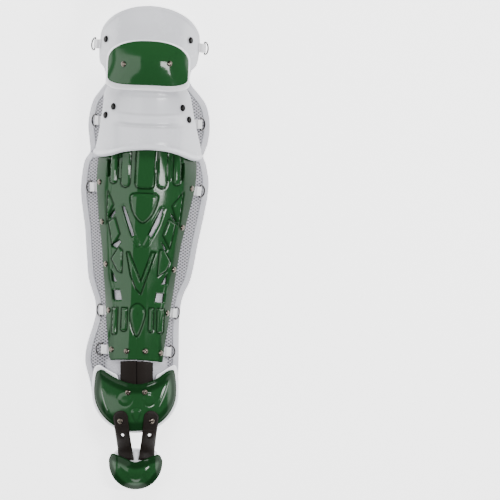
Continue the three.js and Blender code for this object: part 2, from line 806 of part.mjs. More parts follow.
const padNotch = (u) => {
  const clear = Math.abs(ankleCentre + u * anklePadHalf - bandCentre) - bandHalfWidth - bandNotch.gap;
  return bandNotch.depth * (1 - smooth(clear / bandNotch.ease));
};
const notchColumn = (side, out) =>
  (bandCentre + side * (bandHalfWidth + bandNotch.gap + out) - ankleCentre) / anklePadHalf;
add(
  "ankle_pad",
  shell({
    us: [
      ...[-1, -0.97, -0.88, -0.75, -0.6, -0.48, notchColumn(-1, bandNotch.ease), notchColumn(-1, 0), -0.18],
      ...[0, 0.18, 0.32, notchColumn(1, 0), notchColumn(1, bandNotch.ease), 0.6, 0.75, 0.88, 0.97, 1],
    ],
    vs: shares(6),
    plan: inAnkle((u, v) => [
      ankleCentre + u * anklePadHalf,
      mix(ankleBottom(u) - anklePadRim, Math.min(ankleTop(u) + anklePadLip - padNotch(u), 0), v),
    ]),
    upper: ankleOver,
    lower: onPad,
  }),
  white,
);

// The toe cap and its padding
const toeTopCurve = track(toeTopRows, "across", "rise");
const toeTop = (u) => toeTip + toeTopCurve(u) * toeLength;
const toeLow = (u) => toeTip + toeRound * (1 - dome(u, 2));
const toePlan = (inset, rise) => (u, v) => [
  toeCentre + u * (toeHalfWidth - inset),
  mix(toeLow(u) + inset, toeTop(u) + rise, v),
];
const placed = (geometry) => {
  const matrix = new THREE.Matrix4().makeRotationZ(lean);
  matrix.setPosition(anklePivot.x, anklePivot.y, 0);
  return geometry.applyMatrix4(matrix);
};
add(
  "toe_cap",
  placed(
    shell({ us: columns(10), vs: shares(6), plan: toePlan(0, 0), upper: toeOuter, lower: toeInner }),
  ),
  green,
);
add(
  "toe_pad",
  placed(
    shell({
      us: columns(10),
      vs: shares(6),
      plan: (u, v) => [
        toeCentre + u * (toeHalfWidth - toePadInset),
        mix(toeLow(u) + toePadInset, mix(toeTip + toePadReach, toeTop(u) - toePadDrop, u ** 6), v),
      ],
      upper: (a, b) => Math.max(toePadEdge, toePadTop(a, b)),
      lower: () => 0,
    }),
  ),
  white,
);

// The toe straps run from the ankle shell down to the toe cap
const shellFoot = ankleBottom(0) + 2;
const strapUnder = (a, b) => {
  const shellY = Math.max(b, shellFoot);
  const onShell = lifted(ankleOuter, layerGap)(...ankleToLeg(a, shellY));
  const onToe = toePadTop(a, Math.min(b, toeTip + strapLap)) + layerGap;
  return mix(onShell, onToe, smooth((shellFoot - b) / strapSlope));
};
const strapRise = strapTop - strapEnd;
for (const side of [-1, 1]) {
  const centre = track(strapRows, "up", "centre");
  const half = track(strapRows, "up", "half");
  const end = (u) => strapTop - (strapWidth / 2) * (1 - dome(u, 2));
  const body = toSolid(
    shell({
      us: columns(4),
      vs: shares(11),
      plan: (u, v) => {
        const b = mix(strapEnd, end(u), v);
        const up = (b - strapEnd) / strapRise;
        return [(side * centre(up) * strapSpacing) / 2 + (u * half(up) * strapWidth) / 2, b];
      },
      upper: (a, b) => strapUnder(a, b) + shellWall,
      lower: strapUnder,
    }),
  );
  const bore = new THREE.CylinderGeometry(strapHole.width / 2, strapHole.width / 2, prismHeight, 10);
  bore.rotateX(Math.PI / 2);
  bore.translate((side * strapHole.spacing * strapSpacing) / 2, strapTop - strapHole.drop, prismHeight / 2);
  const name = side < 0 ? "toe_strap_left" : "toe_strap_right";
  add(name, placed(toGeometry(body.subtract(toSolid(bore)))), black);
}

// Rivets: domed heads that stand square on a surface
function rivetGeometry(head) {
  const r = head / 2;
  const profile = [
    [0, 0],
    [r, 0],
    [r, rivetRise * 0.4],
    [r * 0.65, rivetRise],
    [0, rivetRise],
  ].map(([x, y]) => new THREE.Vector2(x, y));
  return new THREE.LatheGeometry(profile, 8).rotateX(Math.PI / 2);
}
const finishes = { steel, black };
function normalAt(z, x, y) {
  const step = 1;
  const dx = (z(x + step, y) - z(x - step, y)) / (2 * step);
  const dy = (z(x, y + step) - z(x, y - step)) / (2 * step);
  return new THREE.Vector3(-dx, -dy, 1).normalize();
}
function addRivet(name, z, x, y, finish) {
  const normal = normalAt(z, x, y);
  const geometry = rivetGeometry(rivetHead[finish]);
  const turn = new THREE.Quaternion().setFromUnitVectors(new THREE.Vector3(0, 0, 1), normal);
  geometry.applyQuaternion(turn);
  const seat = new THREE.Vector3(x, y, z(x, y)).addScaledVector(normal, rivetGap);
  geometry.translate(seat.x, seat.y, seat.z);
  return add(name, geometry, finishes[finish]);
}
const surfaces = {
  plate: { form: plate, z: plateOuter, half: plateHalfWidth, y: legY, top: leg.z },
  knee: { form: knee, z: kneeOuter, half: kneeHalfWidth, y: (up) => kneeLip + up * kneeLength, top: leg.z },
  thigh: { form: thigh, z: thigh.z, half: thighHalfWidth, y: (up) => thighBottom + up * thighLength },
  cap: { form: cap, z: cap.z, half: capHalfWidth, y: (up) => capMiddle + (up - 0.5) * capLength },
};
for (const { side, up } of edgeRivets) {
  const y = legY(up);
  const edge = side < 0 ? plate.left(y) : plate.right(y);
  const label = side < 0 ? "left" : "right";
  const rank = edgeRivets.filter((r) => r.side === side && r.up >= up).length;
  addRivet(`rivet_plate_${label}_${rank}`, plateOuter, edge - side * rivetInset, y, "steel");
}
for (const { name, on, across: share, up, finish } of shellRivets) {
  if (on === "ankle") {
    const [x, y] = ankleToLeg(share * ankleHalfWidth, ankleDip + up * ankleLength);
    addRivet(name, ankleOuter, x, y, finish);
  } else {
    const { z, half, y } = surfaces[on];
    addRivet(name, z, share * half, y(up), finish);
  }
}
for (const side of [-1, 1]) {
  const name = side < 0 ? "rivet_strap_left" : "rivet_strap_right";
  const strapOver = (x, y) => strapUnder(...legToAnkle(x, y)) + shellWall;
  const [x, y] = ankleToLeg((side * strapSpacing) / 2, strapTop - strapRivetDrop);
  addRivet(name, strapOver, x, y, "steel");
}

// Tabs and rings: each ring's bar turns in the rolled end of a tab at a shell's edge
const wireRadius = ringWire / 2;
const boreRadius = wireRadius + ringClearance;
const knuckleRadius = boreRadius + knuckleWall;
function tabGeometry() {
  const outline = new THREE.Shape();
  outline.moveTo(0, 0);
  outline.lineTo(tabLength, 0);
  outline.absarc(tabLength, knuckleRadius, knuckleRadius, -Math.PI / 2, Math.PI / 2, false);
  outline.lineTo(0, 2 * knuckleRadius * tabRoot);
  outline.closePath();
  const bore = new THREE.Path();
  bore.absarc(tabLength, knuckleRadius, boreRadius, 0, Math.PI * 2, true);
  outline.holes.push(bore);
  const geometry = new THREE.ExtrudeGeometry(outline, {
    depth: tabWidth,
    bevelEnabled: false,
    curveSegments: 5,
  });
  return geometry.translate(0, 0, -tabWidth / 2);
}
// A closed loop of wire in a plane, with six sides
function wireLoop(points) {
  const sides = 6;
  const count = points.length;
  const positions = [];
  const faces = [];
  points.forEach(([x, y], k) => {
    const before = points[(k + count - 1) % count];
    const after = points[(k + 1) % count];
    const a = new THREE.Vector2(x - before[0], y - before[1]).normalize();
    const b = new THREE.Vector2(after[0] - x, after[1] - y).normalize();
    const bend = a.clone().add(b).normalize();
    const reach = 1 / Math.max(0.5, bend.dot(b));
    for (let s = 0; s < sides; s += 1) {
      const angle = ((s + 0.5) / sides) * Math.PI * 2;
      const out = Math.cos(angle) * wireRadius * reach;
      positions.push(new THREE.Vector3(x + bend.y * out, y - bend.x * out, Math.sin(angle) * wireRadius));
      const next = (k + 1) % count;
      const turn = (s + 1) % sides;
      faces.push(k * sides + s, next * sides + s, next * sides + turn);
      faces.push(k * sides + s, next * sides + turn, k * sides + turn);
    }
  });
  const geometry = new THREE.BufferGeometry().setFromPoints(positions);
  geometry.setIndex(faces);
  return geometry;
}
// The ring in its own frame: x away from its bar, y along its bar
function ringGeometry() {
  const straight = tabWidth / 2 + 0.6;
  const shoulder = ringHalfLength;
  const points = [
    [0, -straight],
    [0, straight],
    [0.5, shoulder - 0.5],
  ];
  const steps = 7;
  for (let k = 0; k <= steps; k += 1) {
    const angle = Math.PI / 2 - (k / steps) * Math.PI;
    points.push([ringNeck + (ringDepth - ringNeck) * Math.cos(angle), shoulder * Math.sin(angle)]);
  }
  points.push([0.5, 0.5 - shoulder]);
  return wireLoop(points);
}
for (const { place, on, up } of fastenings) {
  for (const side of [-1, 1]) {
    const surface = surfaces[on];
    const y = surface.y(up);
    const edge = side < 0 ? surface.form.left(y) : surface.form.right(y);
    const x = edge + side * tabGap;
    const under = surface.top ?? thigh.z;
    const normal = normalAt(under, x, y);
    const bar = new THREE.Vector3(0, 1, 0).addScaledVector(normal, -normal.y).normalize();
    const out = new THREE.Vector3().crossVectors(bar, normal).multiplyScalar(side);
    const seat = new THREE.Vector3(x, y, under(x, y)).addScaledVector(normal, tabGap);
    const tabFrame = new THREE.Matrix4().makeBasis(out, normal, bar.clone().multiplyScalar(-side));
    tabFrame.setPosition(seat);
    const label = side < 0 ? "left" : "right";
    add(`tab_${place}_${label}`, tabGeometry().applyMatrix4(tabFrame), white);
    const axis = seat
      .clone()
      .addScaledVector(out, tabLength)
      .addScaledVector(normal, knuckleRadius);
    const tilt = THREE.MathUtils.degToRad(ringTilt);
    const along = out.clone().multiplyScalar(Math.cos(tilt)).addScaledVector(normal, -Math.sin(tilt));
    const square = new THREE.Vector3().crossVectors(along, bar);
    const ringFrame = new THREE.Matrix4().makeBasis(along, bar, square).setPosition(axis);
    const ring = add(`ring_${place}_${label}`, ringGeometry().applyMatrix4(ringFrame), steel);
    const hinge = new THREE.Vector3().crossVectors(along, normal).normalize();
    ring.userData = { hingeAt: axis.toArray(), hingeAxis: hinge.toArray() };
  }
}

// The middle of the guard's outline goes over the origin
const box = new THREE.Box3().setFromObject(guard);
const middle = box.getCenter(new THREE.Vector3());
guard.position.set(-middle.x, -middle.y, -box.min.z);

export default root;
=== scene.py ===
# %% [markdown]
# # A catcher's leg guard
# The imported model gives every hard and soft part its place. Here each part gets the shape detail and
# the finish that the real one shows: gloss plastic shells, mesh padding with a smooth binding, wire
# rings. All sizes below are in millimetres until a mesh is finished, because that is how such a guard
# is measured, and one function turns them into metres.

# %% Load the frame
import math
import bmesh
import bpy
import numpy as np
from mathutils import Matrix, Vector, kdtree


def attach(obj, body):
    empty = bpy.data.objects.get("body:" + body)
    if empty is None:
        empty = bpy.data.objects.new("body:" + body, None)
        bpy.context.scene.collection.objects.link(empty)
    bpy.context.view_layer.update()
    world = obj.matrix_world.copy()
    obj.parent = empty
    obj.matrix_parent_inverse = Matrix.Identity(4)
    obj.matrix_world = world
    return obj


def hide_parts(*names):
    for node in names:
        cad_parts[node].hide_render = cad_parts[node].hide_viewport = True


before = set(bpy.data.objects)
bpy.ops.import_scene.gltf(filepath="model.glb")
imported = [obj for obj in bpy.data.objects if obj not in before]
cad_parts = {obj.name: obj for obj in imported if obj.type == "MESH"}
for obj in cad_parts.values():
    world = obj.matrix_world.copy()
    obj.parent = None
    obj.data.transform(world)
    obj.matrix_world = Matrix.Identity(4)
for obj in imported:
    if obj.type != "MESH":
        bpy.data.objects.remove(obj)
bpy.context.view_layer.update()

MM = 0.001
SHIFT = np.array([-0.009, -0.101, 0.0])  # puts the middle of the outline over the origin

# %% [markdown]
# ## Camera and room
# The guard was photographed from straight above, with a long lens. A long lens far away keeps the
# sides of a deep object from leaning outwards. The camera turns 2.3 degrees about its own axis, because
# the guard lies that far off the picture's upright.

# %% Camera
def new_object(name, data):
    item = bpy.data.objects.new(name, data)
    bpy.context.scene.collection.objects.link(item)
    return item


VIEW_TURN = math.radians(2.31)
FRAME_WIDTH = 0.685  # metres that the picture covers
CAMERA_HEIGHT, FRONT_HEIGHT, SENSOR = 12.0, 0.06, 36
camera = new_object("camera", bpy.data.cameras.new("camera"))
camera.data.sensor_width = SENSOR
camera.data.lens = SENSOR * (CAMERA_HEIGHT - FRONT_HEIGHT) / FRAME_WIDTH
camera.location = (0.1483, 0.0038, CAMERA_HEIGHT)
camera.rotation_euler = (0, 0, VIEW_TURN)
bpy.context.scene.camera = camera
print("lens", round(camera.data.lens), "mm")

# %% [markdown]
# ## The guard's forms
# The padding, the shells and the ankle all follow one arch that lies along the leg. A row of numbers
# gives the arch at a few heights of the leg, and a smooth curve runs through them, so a piece of any
# fineness can be drawn from the same few rows.

# %% Smooth curves through rows
def rows(columns, *lines):
    names = columns.split()
    return {name: np.array([line[i] for line in lines], float) for i, name in enumerate(names)}


def track(table, at, key):
    """A smooth curve through one column's values."""
    t, v = table[at], table[key]
    index = np.arange(len(t))
    a, b = np.maximum(index - 1, 0), np.minimum(index + 1, len(t) - 1)
    slope = (v[b] - v[a]) / (t[b] - t[a])

    def curve(x):
        x = np.clip(np.asarray(x, float), t[0], t[-1])
        i = np.clip(np.searchsorted(t, x, side="right") - 1, 0, len(t) - 2)
        h = t[i + 1] - t[i]
        s = (x - t[i]) / h
        r = 1 - s
        ends = r * r * (1 + 2 * s) * v[i] + s * s * (3 - 2 * s) * v[i + 1]
        return ends + s * r * h * (r * slope[i] - s * slope[i + 1])

    return curve


def dome(u, power):
    return (1 - np.minimum(1, np.abs(u)) ** power) ** (1 / power)


def mix(a, b, t):
    return a + (b - a) * t


def smooth(t):
    c = np.clip(t, 0, 1)
    return c * c * (3 - 2 * c)


def slopes(z, x, y, step=0.5):
    dx = (z(x + step, y) - z(x - step, y)) / (2 * step)
    dy = (z(x, y + step) - z(x, y - step)) / (2 * step)
    return dx, dy


def lifted(z, lift):
    """A surface lifted by a distance measured square to it."""
    def raised(x, y):
        dx, dy = slopes(z, x, y)
        return z(x, y) + lift * np.minimum(2.4, np.sqrt(dx * dx + dy * dy + 1))

    return raised


class Arch:
    """A height that falls from a centre line to two edges."""

    def __init__(self, left, right, centre, crown, edge, fullness):
        self.left, self.right, self.centre = left, right, centre
        self.crown, self.edge, self.fullness = crown, edge, fullness

    def z(self, x, y):
        c = self.centre(y)
        reach = np.where(x < c, c - self.left(y), self.right(y) - c)
        s = np.abs(x - c) / reach
        return self.edge(y) + (self.crown(y) - self.edge(y)) * (1 - s ** self.fullness)


def across(left, right, centre, u, y):
    c = centre(y)
    return np.where(u < 0, c + u * (c - left(y)), c + u * (right(y) - c))


# %% The rows
PAD_HALF_WIDTH, PAD_CROWN, PAD_WALL = 87, 92, 10
HEM_HEIGHT = 7
SHELL_WALL, LAYER_GAP = 3, 0.6
PLATE_BOTTOM, SHIN_LENGTH, PLATE_HALF_WIDTH = -154.8, 294, 68.5
KNEE_LIP, KNEE_LENGTH, KNEE_HALF_WIDTH, KNEE_FLARE = 128.2, 103, 75, 9
THIGH_BOTTOM, THIGH_LENGTH, THIGH_HALF_WIDTH, THIGH_CROWN = 233, 98.9, 69, 101
CAP_MIDDLE, CAP_LENGTH, CAP_HALF_WIDTH, CAP_CROWN, CAP_EDGE = 254.2, 58, 55.4, 112, 84

LEG = rows(
    "up left right centre crown hem",
    (-0.333, -0.564, 0.586, 0.011, 0.435, 1),
    (-0.259, -0.644, 0.62, 0.002, 0.5, 1),
    (-0.16, -0.695, 0.637, -0.012, 0.543, 1),
    (-0.105, -0.734, 0.641, -0.021, 0.576, 1),
    (-0.02, -0.818, 0.643, -0.024, 0.625, 1),
    (0.027, -0.824, 0.641, -0.024, 0.647, 1),
    (0.085, -0.791, 0.634, -0.023, 0.668, 1),
    (0.16, -0.721, 0.626, -0.02, 0.69, 1),
    (0.218, -0.684, 0.627, -0.018, 0.707, 1),
    (0.276, -0.705, 0.643, -0.016, 0.723, 1),
    (0.323, -0.76, 0.683, -0.015, 0.739, 1),
    (0.384, -0.825, 0.77, -0.014, 0.755, 1),
    (0.456, -0.856, 0.821, -0.012, 0.777, 1),
    (0.541, -0.886, 0.861, -0.009, 0.804, 1),
    (0.612, -0.911, 0.902, 0, 0.826, 1),
    (0.707, -0.965, 0.957, 0.01, 0.859, 1),
    (0.785, -1, 0.995, 0.018, 0.884, 1),
    (0.857, -0.994, 1, 0.025, 0.908, 1),
    (0.932, -0.955, 0.948, 0.031, 0.929, 1),
    (0.969, -0.88, 0.904, 0.031, 0.94, 1),
    (1.024, -0.895, 0.959, 0.029, 0.951, 1),
    (1.092, -0.925, 0.985, 0.023, 0.967, 1),
    (1.16, -0.906, 0.965, 0.012, 0.984, 1.3),
    (1.218, -0.849, 0.896, 0.002, 0.995, 2.8),
    (1.262, -0.743, 0.775, -0.008, 1, 4.8),
    (1.299, -0.656, 0.666, -0.013, 1, 6.8),
    (1.361, -0.621, 0.586, -0.014, 1, 8),
)
PLATE = rows(
    "up left right",
    (0, -0.541, 0.509),
    (0.032, -0.577, 0.52),
    (0.092, -0.605, 0.545),
    (0.173, -0.653, 0.593),
    (0.316, -0.709, 0.665),
    (0.412, -0.754, 0.709),
    (0.534, -0.808, 0.777),
    (0.639, -0.877, 0.865),
    (0.735, -0.925, 0.948),
    (0.805, -0.957, 1.01),
    (0.878, -0.963, 1.036),
    (0.949, -0.939, 1.02),
    (1, -0.906, 0.985),
)
KNEE = rows(
    "up left right lift",
    (-0.08, -0.97, 1.035, 1.05),
    (0, -0.961, 1.039, 1),
    (0.136, -0.91, 0.999, 0.84),
    (0.252, -0.881, 0.959, 0.6),
    (0.476, -0.841, 0.879, 0.2),
    (0.68, -0.814, 0.819, 0),
    (0.816, -0.803, 0.773, 0),
    (0.942, -0.717, 0.677, 0),
    (1, -0.681, 0.639, 0),
)
KNEE_LIP_LINE = rows(
    "across rise",
    (-1, 0.0), (-0.9, -0.034), (-0.7, -0.02), (-0.45, 0.028), (0, 0.064),
    (0.35, 0.05), (0.6, 0.012), (0.88, -0.046), (1, -0.01),
)
THIGH = rows(
    "up left right crown edge",
    (0, -0.84, 0.815, 0.949, 0.66),
    (0.13, -0.9, 0.85, 0.958, 0.6),
    (0.2, -0.978, 0.935, 0.975, 0.53),
    (0.33, -1.005, 0.978, 0.99, 0.49),
    (0.5, -0.995, 0.989, 1, 0.475),
    (0.72, -0.985, 0.98, 0.97, 0.47),
    (0.87, -0.985, 0.98, 0.91, 0.46),
    (1, -0.985, 0.98, 0.83, 0.44),
)
CAP = rows(
    "up crown",
    (-0.08, 0.915), (0, 0.93), (0.25, 0.972), (0.52, 1), (0.78, 0.992), (1, 0.97), (1.08, 0.962),
)


def leg_y(up):
    return PLATE_BOTTOM + up * SHIN_LENGTH


def sized(table, key, start, length, size):
    """A column as a curve along y, at its real size."""
    curve = track(table, "up", key)
    return lambda y: curve((y - start) / length) * size


def edge_line(table, start, length):
    """A border that rises and falls across the leg."""
    curve = track(table, "across", "rise")
    return lambda u: start + curve(u) * length


def steady(value):
    return lambda y: np.full(np.shape(y), float(value))


SIDES = ("left", "right")
ON_SHIN, ON_KNEE = (PLATE_BOTTOM, SHIN_LENGTH), (KNEE_LIP, KNEE_LENGTH)
ON_THIGH, ON_CAP = (THIGH_BOTTOM, THIGH_LENGTH), (CAP_MIDDLE - CAP_LENGTH / 2, CAP_LENGTH)
leg_hem = sized(LEG, "hem", *ON_SHIN, HEM_HEIGHT)
leg = Arch(
    *(sized(LEG, key, *ON_SHIN, PAD_HALF_WIDTH) for key in ("left", "right", "centre")),
    sized(LEG, "crown", *ON_SHIN, PAD_CROWN), leg_hem, 2.2,
)
on_pad = lifted(leg.z, LAYER_GAP)
plate_outer = lifted(leg.z, LAYER_GAP + SHELL_WALL)
plate_left, plate_right = (sized(PLATE, side, *ON_SHIN, PLATE_HALF_WIDTH) for side in SIDES)
knee_left, knee_right = (sized(KNEE, side, *ON_KNEE, KNEE_HALF_WIDTH) for side in SIDES)
knee_lift = sized(KNEE, "lift", *ON_KNEE, KNEE_FLARE)
knee_outer = lambda x, y: plate_outer(x, y) + knee_lift(y)
knee_low = edge_line(KNEE_LIP_LINE, *ON_KNEE)
middle_line = steady(-1)
thigh = Arch(
    *(sized(THIGH, side, *ON_THIGH, THIGH_HALF_WIDTH) for side in SIDES), middle_line,
    *(sized(THIGH, key, *ON_THIGH, THIGH_CROWN) for key in ("crown", "edge")), 2.4,
)
cap = Arch(
    steady(-1 - CAP_HALF_WIDTH), steady(CAP_HALF_WIDTH - 1), middle_line,
    sized(CAP, "crown", *ON_CAP, CAP_CROWN), steady(CAP_EDGE), 2.3,
)
print("pad crown at the knee", round(float(leg.z(np.array(0.0), np.array(180.0))), 1), "mm")

# %% The ankle's leaning frame
LEAN = math.radians(2.3)
PIVOT = (-1.7, -155.8)
ANKLE_HALF_WIDTH, ANKLE_LENGTH, ANKLE_PAD_WALL = 57.2, 84, 5
ANKLE_TOP = rows(
    "across rise",
    (-1, -0.06), (-0.96, 0.16), (-0.84, 0.238), (-0.68, 0.18), (-0.48, 0.105), (-0.2, 0.03), (0.06, 0),
    (0.33, 0.03), (0.56, 0.1), (0.76, 0.19), (0.88, 0.23), (0.96, 0.2), (1, -0.02),
)
TOE_TIP, TOE_LENGTH, TOE_HALF_WIDTH, TOE_CROWN, TOE_HEM = -176, 50, 37.2, 36, 9
TOE_TOP = rows(
    "across rise",
    (-1, 0.84), (-0.9, 0.99), (-0.75, 0.965), (-0.5, 0.9), (0, 0.766), (0.5, 0.88), (0.75, 0.945),
    (0.9, 0.95), (1, 0.8),
)
TOE = rows("up crown", (0, 0.38), (0.12, 0.6), (0.3, 0.83), (0.55, 0.97), (0.8, 1), (1.1, 0.97))


def ankle_to_leg(a, b):
    return (
        PIVOT[0] + a * math.cos(LEAN) - b * math.sin(LEAN),
        PIVOT[1] + a * math.sin(LEAN) + b * math.cos(LEAN),
    )


def leg_to_ankle(x, y):
    dx, dy = x - PIVOT[0], y - PIVOT[1]
    return dx * math.cos(LEAN) + dy * math.sin(LEAN), dy * math.cos(LEAN) - dx * math.sin(LEAN)


ankle_over = lifted(leg.z, LAYER_GAP + ANKLE_PAD_WALL)
ankle_outer = lifted(leg.z, 2 * LAYER_GAP + ANKLE_PAD_WALL + SHELL_WALL)
ankle_top = edge_line(ANKLE_TOP, -31, ANKLE_LENGTH)
ankle_bottom = lambda u: -41 - 54 * dome(u, 2)
toe_crown = sized(TOE, "crown", TOE_TIP, TOE_LENGTH, TOE_CROWN)
toe = Arch(
    steady(-1 - TOE_HALF_WIDTH), steady(TOE_HALF_WIDTH - 1), middle_line, toe_crown,
    lambda b: np.minimum(TOE_HEM + SHELL_WALL, toe_crown(b)), 2.6,
)
toe_outer = lambda x, y: toe.z(*leg_to_ankle(x, y))
toe_pad_top = lambda a, b: toe.z(a, b) - SHELL_WALL * 2.2 - 2 * LAYER_GAP
toe_top = edge_line(TOE_TOP, TOE_TIP, TOE_LENGTH)
toe_low = lambda u: TOE_TIP + 38 * (1 - dome(u, 2))
STRAP_FOOT = -93


def strap_over(x, y):
    """The straps' front: on the ankle shell, and from there down to the toe padding."""
    a, b = leg_to_ankle(x, y)
    on_shell = lifted(ankle_outer, LAYER_GAP)(*ankle_to_leg(a, np.maximum(b, STRAP_FOOT)))
    on_toe = toe_pad_top(a, np.minimum(b, -128)) + LAYER_GAP
    return mix(on_shell, on_toe, smooth((STRAP_FOOT - b) / 33)) + SHELL_WALL


# %% [markdown]
# ## Making a wall from a surface
# A moulded shell is a wall of even thickness with a rounded edge and pierced windows. It could be a
# solidified sheet, but then the relief on the front would also push the back out. So the front and the
# back are drawn as two grids over the same plan, and a ring of faces joins them at every border.

# %% Grids, borders and distances
SHELL_ENDS, PAD_ENDS = (0.35, 0.9, 1.8), (0.4, 1.2, 2.4)


def spaced(length, pitch, ends=SHELL_ENDS):
    """Shares of a length: even steps, and closer ones where the two ends turn over."""
    ends = np.array(ends, float)
    even = np.linspace(ends[-1], length - ends[-1], max(2, round((length - 2 * ends[-1]) / pitch)) + 1)
    return np.concatenate([[0], ends[:-1], even, (length - ends[:-1])[::-1], [length]]) / length


def shares(width, length, pitch, ends=SHELL_ENDS):
    """Two grids: shares across from -1 to 1, and shares along from 0 to 1."""
    return np.meshgrid(2 * spaced(width, pitch, ends) - 1, spaced(length, pitch, ends))


def leg_patch(left, right, centre, u, y):
    return np.stack([across(left, right, centre, u, y), y], axis=-1)


def ring_of(grid):
    return np.concatenate([grid[0, :-1], grid[:-1, -1], grid[-1, :0:-1], grid[:0:-1, 0]])


def resampled(line, pitch, closed=True):
    """Points at even steps along a line, with its length."""
    if closed:
        line = np.vstack([line, line[:1]])
    along = np.concatenate([[0], np.cumsum(np.linalg.norm(np.diff(line, axis=0), axis=1))])
    count = max(3, round(along[-1] / pitch))
    at = np.linspace(0, along[-1], count + 1)[: count if closed else count + 1]
    return np.stack([np.interp(at, along, line[:, k]) for k in range(line.shape[1])], axis=1)


def nearest(points, border):
    """Distance from each point to a border, in space."""
    tree = kdtree.KDTree(len(border))
    for i, p in enumerate(border):
        tree.insert(p, i)
    tree.balance()
    return np.array([tree.find(p)[2] for p in points])


def inside(x, y, outline):
    """Distance in plan to an outline: below zero inside it."""
    outline = np.asarray(outline, float)
    best = np.full(np.shape(x), 1e9)
    odd = np.zeros(np.shape(x), bool)
    for (ax, ay), (bx, by) in zip(outline, np.roll(outline, -1, axis=0)):
        ex, ey = bx - ax, by - ay
        t = np.clip(((x - ax) * ex + (y - ay) * ey) / (ex * ex + ey * ey + 1e-12), 0, 1)
        best = np.minimum(best, np.hypot(x - ax - t * ex, y - ay - t * ey))
        crosses = (ay > y) != (by > y)
        at = ax + (y - ay) * ex / (ey if ey else 1e-12)
        odd ^= crosses & (x < at)
    return np.where(odd, -best, best)


def raised(d, height, bevel):
    """A flat-topped step with sloping sides, inside an outline at distance d."""
    return height * smooth(-d / bevel)


def groove(d, depth, width):
    return -depth * np.exp(-((d / width) ** 2))


def normals(surface, x, y):
    dx, dy = slopes(surface, x, y)
    n = np.stack([-dx, -dy, np.ones_like(dx)], axis=-1)
    return n / np.linalg.norm(n, axis=-1, keepdims=True)


# %% One function that finishes every mesh
def new_mesh(name, points, faces):
    """A smooth mesh from points in millimetres."""
    data = bpy.data.meshes.new(name)
    data.from_pydata((points * MM).tolist(), [], faces)
    data.polygons.foreach_set("use_smooth", [True] * len(data.polygons))
    return data


def enter(piece, body, slot, stands_for):
    """Gives a piece its body, and hides the solids that it stands for. The slot is not used."""
    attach(piece, body)
    if stands_for:
        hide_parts(*stands_for)
    print(piece.name, len(piece.data.polygons), "faces")
    return piece


def finish_mesh(name, points, faces, material, body="root", uv=None, masks=None, sharp=34, stands_for=()):
    """A named piece from points in millimetres, with its finish, its body and what it stands for."""
    used, faces = np.unique(faces, return_inverse=True)
    data = new_mesh(name, points[used] + SHIFT, faces.reshape(-1, 4).tolist())
    for key, values in (masks or {}).items():
        layer = data.attributes.new(key, "FLOAT", "POINT")
        layer.data.foreach_set("value", values[used].astype(np.float32))
    if uv is not None:
        corners = np.empty(len(data.loops), int)
        data.loops.foreach_get("vertex_index", corners)
        data.uv_layers.new(name="cloth").data.foreach_set("uv", uv[used][corners].astype(np.float32).ravel())
    data.materials.append(material)
    piece = new_object(name, data)
    tidy = bmesh.new()
    tidy.from_mesh(data)
    bmesh.ops.remove_doubles(tidy, verts=tidy.verts, dist=2e-6)
    bmesh.ops.dissolve_degenerate(tidy, dist=1e-6, edges=tidy.edges)
    tidy.to_mesh(data)
    tidy.free()
    if sharp:
        data.set_sharp_from_angle(angle=math.radians(sharp))
    return enter(piece, body, material["slot"], stands_for)


def wall_faces(keep):
    """Quads of a front grid and a back grid, joined at every border. keep says which quads stay."""
    r, c = keep.shape
    index = np.arange((r + 1) * (c + 1)).reshape(r + 1, c + 1)
    quads = np.stack([index[:-1, :-1], index[:-1, 1:], index[1:, 1:], index[1:, :-1]], axis=-1)[keep]
    start, stop = quads.ravel(), np.roll(quads, -1, axis=1).ravel()
    total = index.size
    code, back = start * total + stop, stop * total + start
    free = ~np.isin(code, back)
    rim = np.stack([stop[free], start[free], start[free] + total, stop[free] + total], axis=1)
    return np.vstack([quads, quads[:, ::-1] + total, rim])


def tube_faces(rings, sides, closed=False):
    """Quads between rings of points that follow one another."""
    k = np.arange(sides)
    turn = (k + 1) % sides
    here = np.arange(rings if closed else rings - 1) * sides
    pairs = zip(here, (here + sides) % (rings * sides))
    return np.vstack([np.column_stack([a + k, a + turn, b + turn, b + k]) for a, b in pairs])


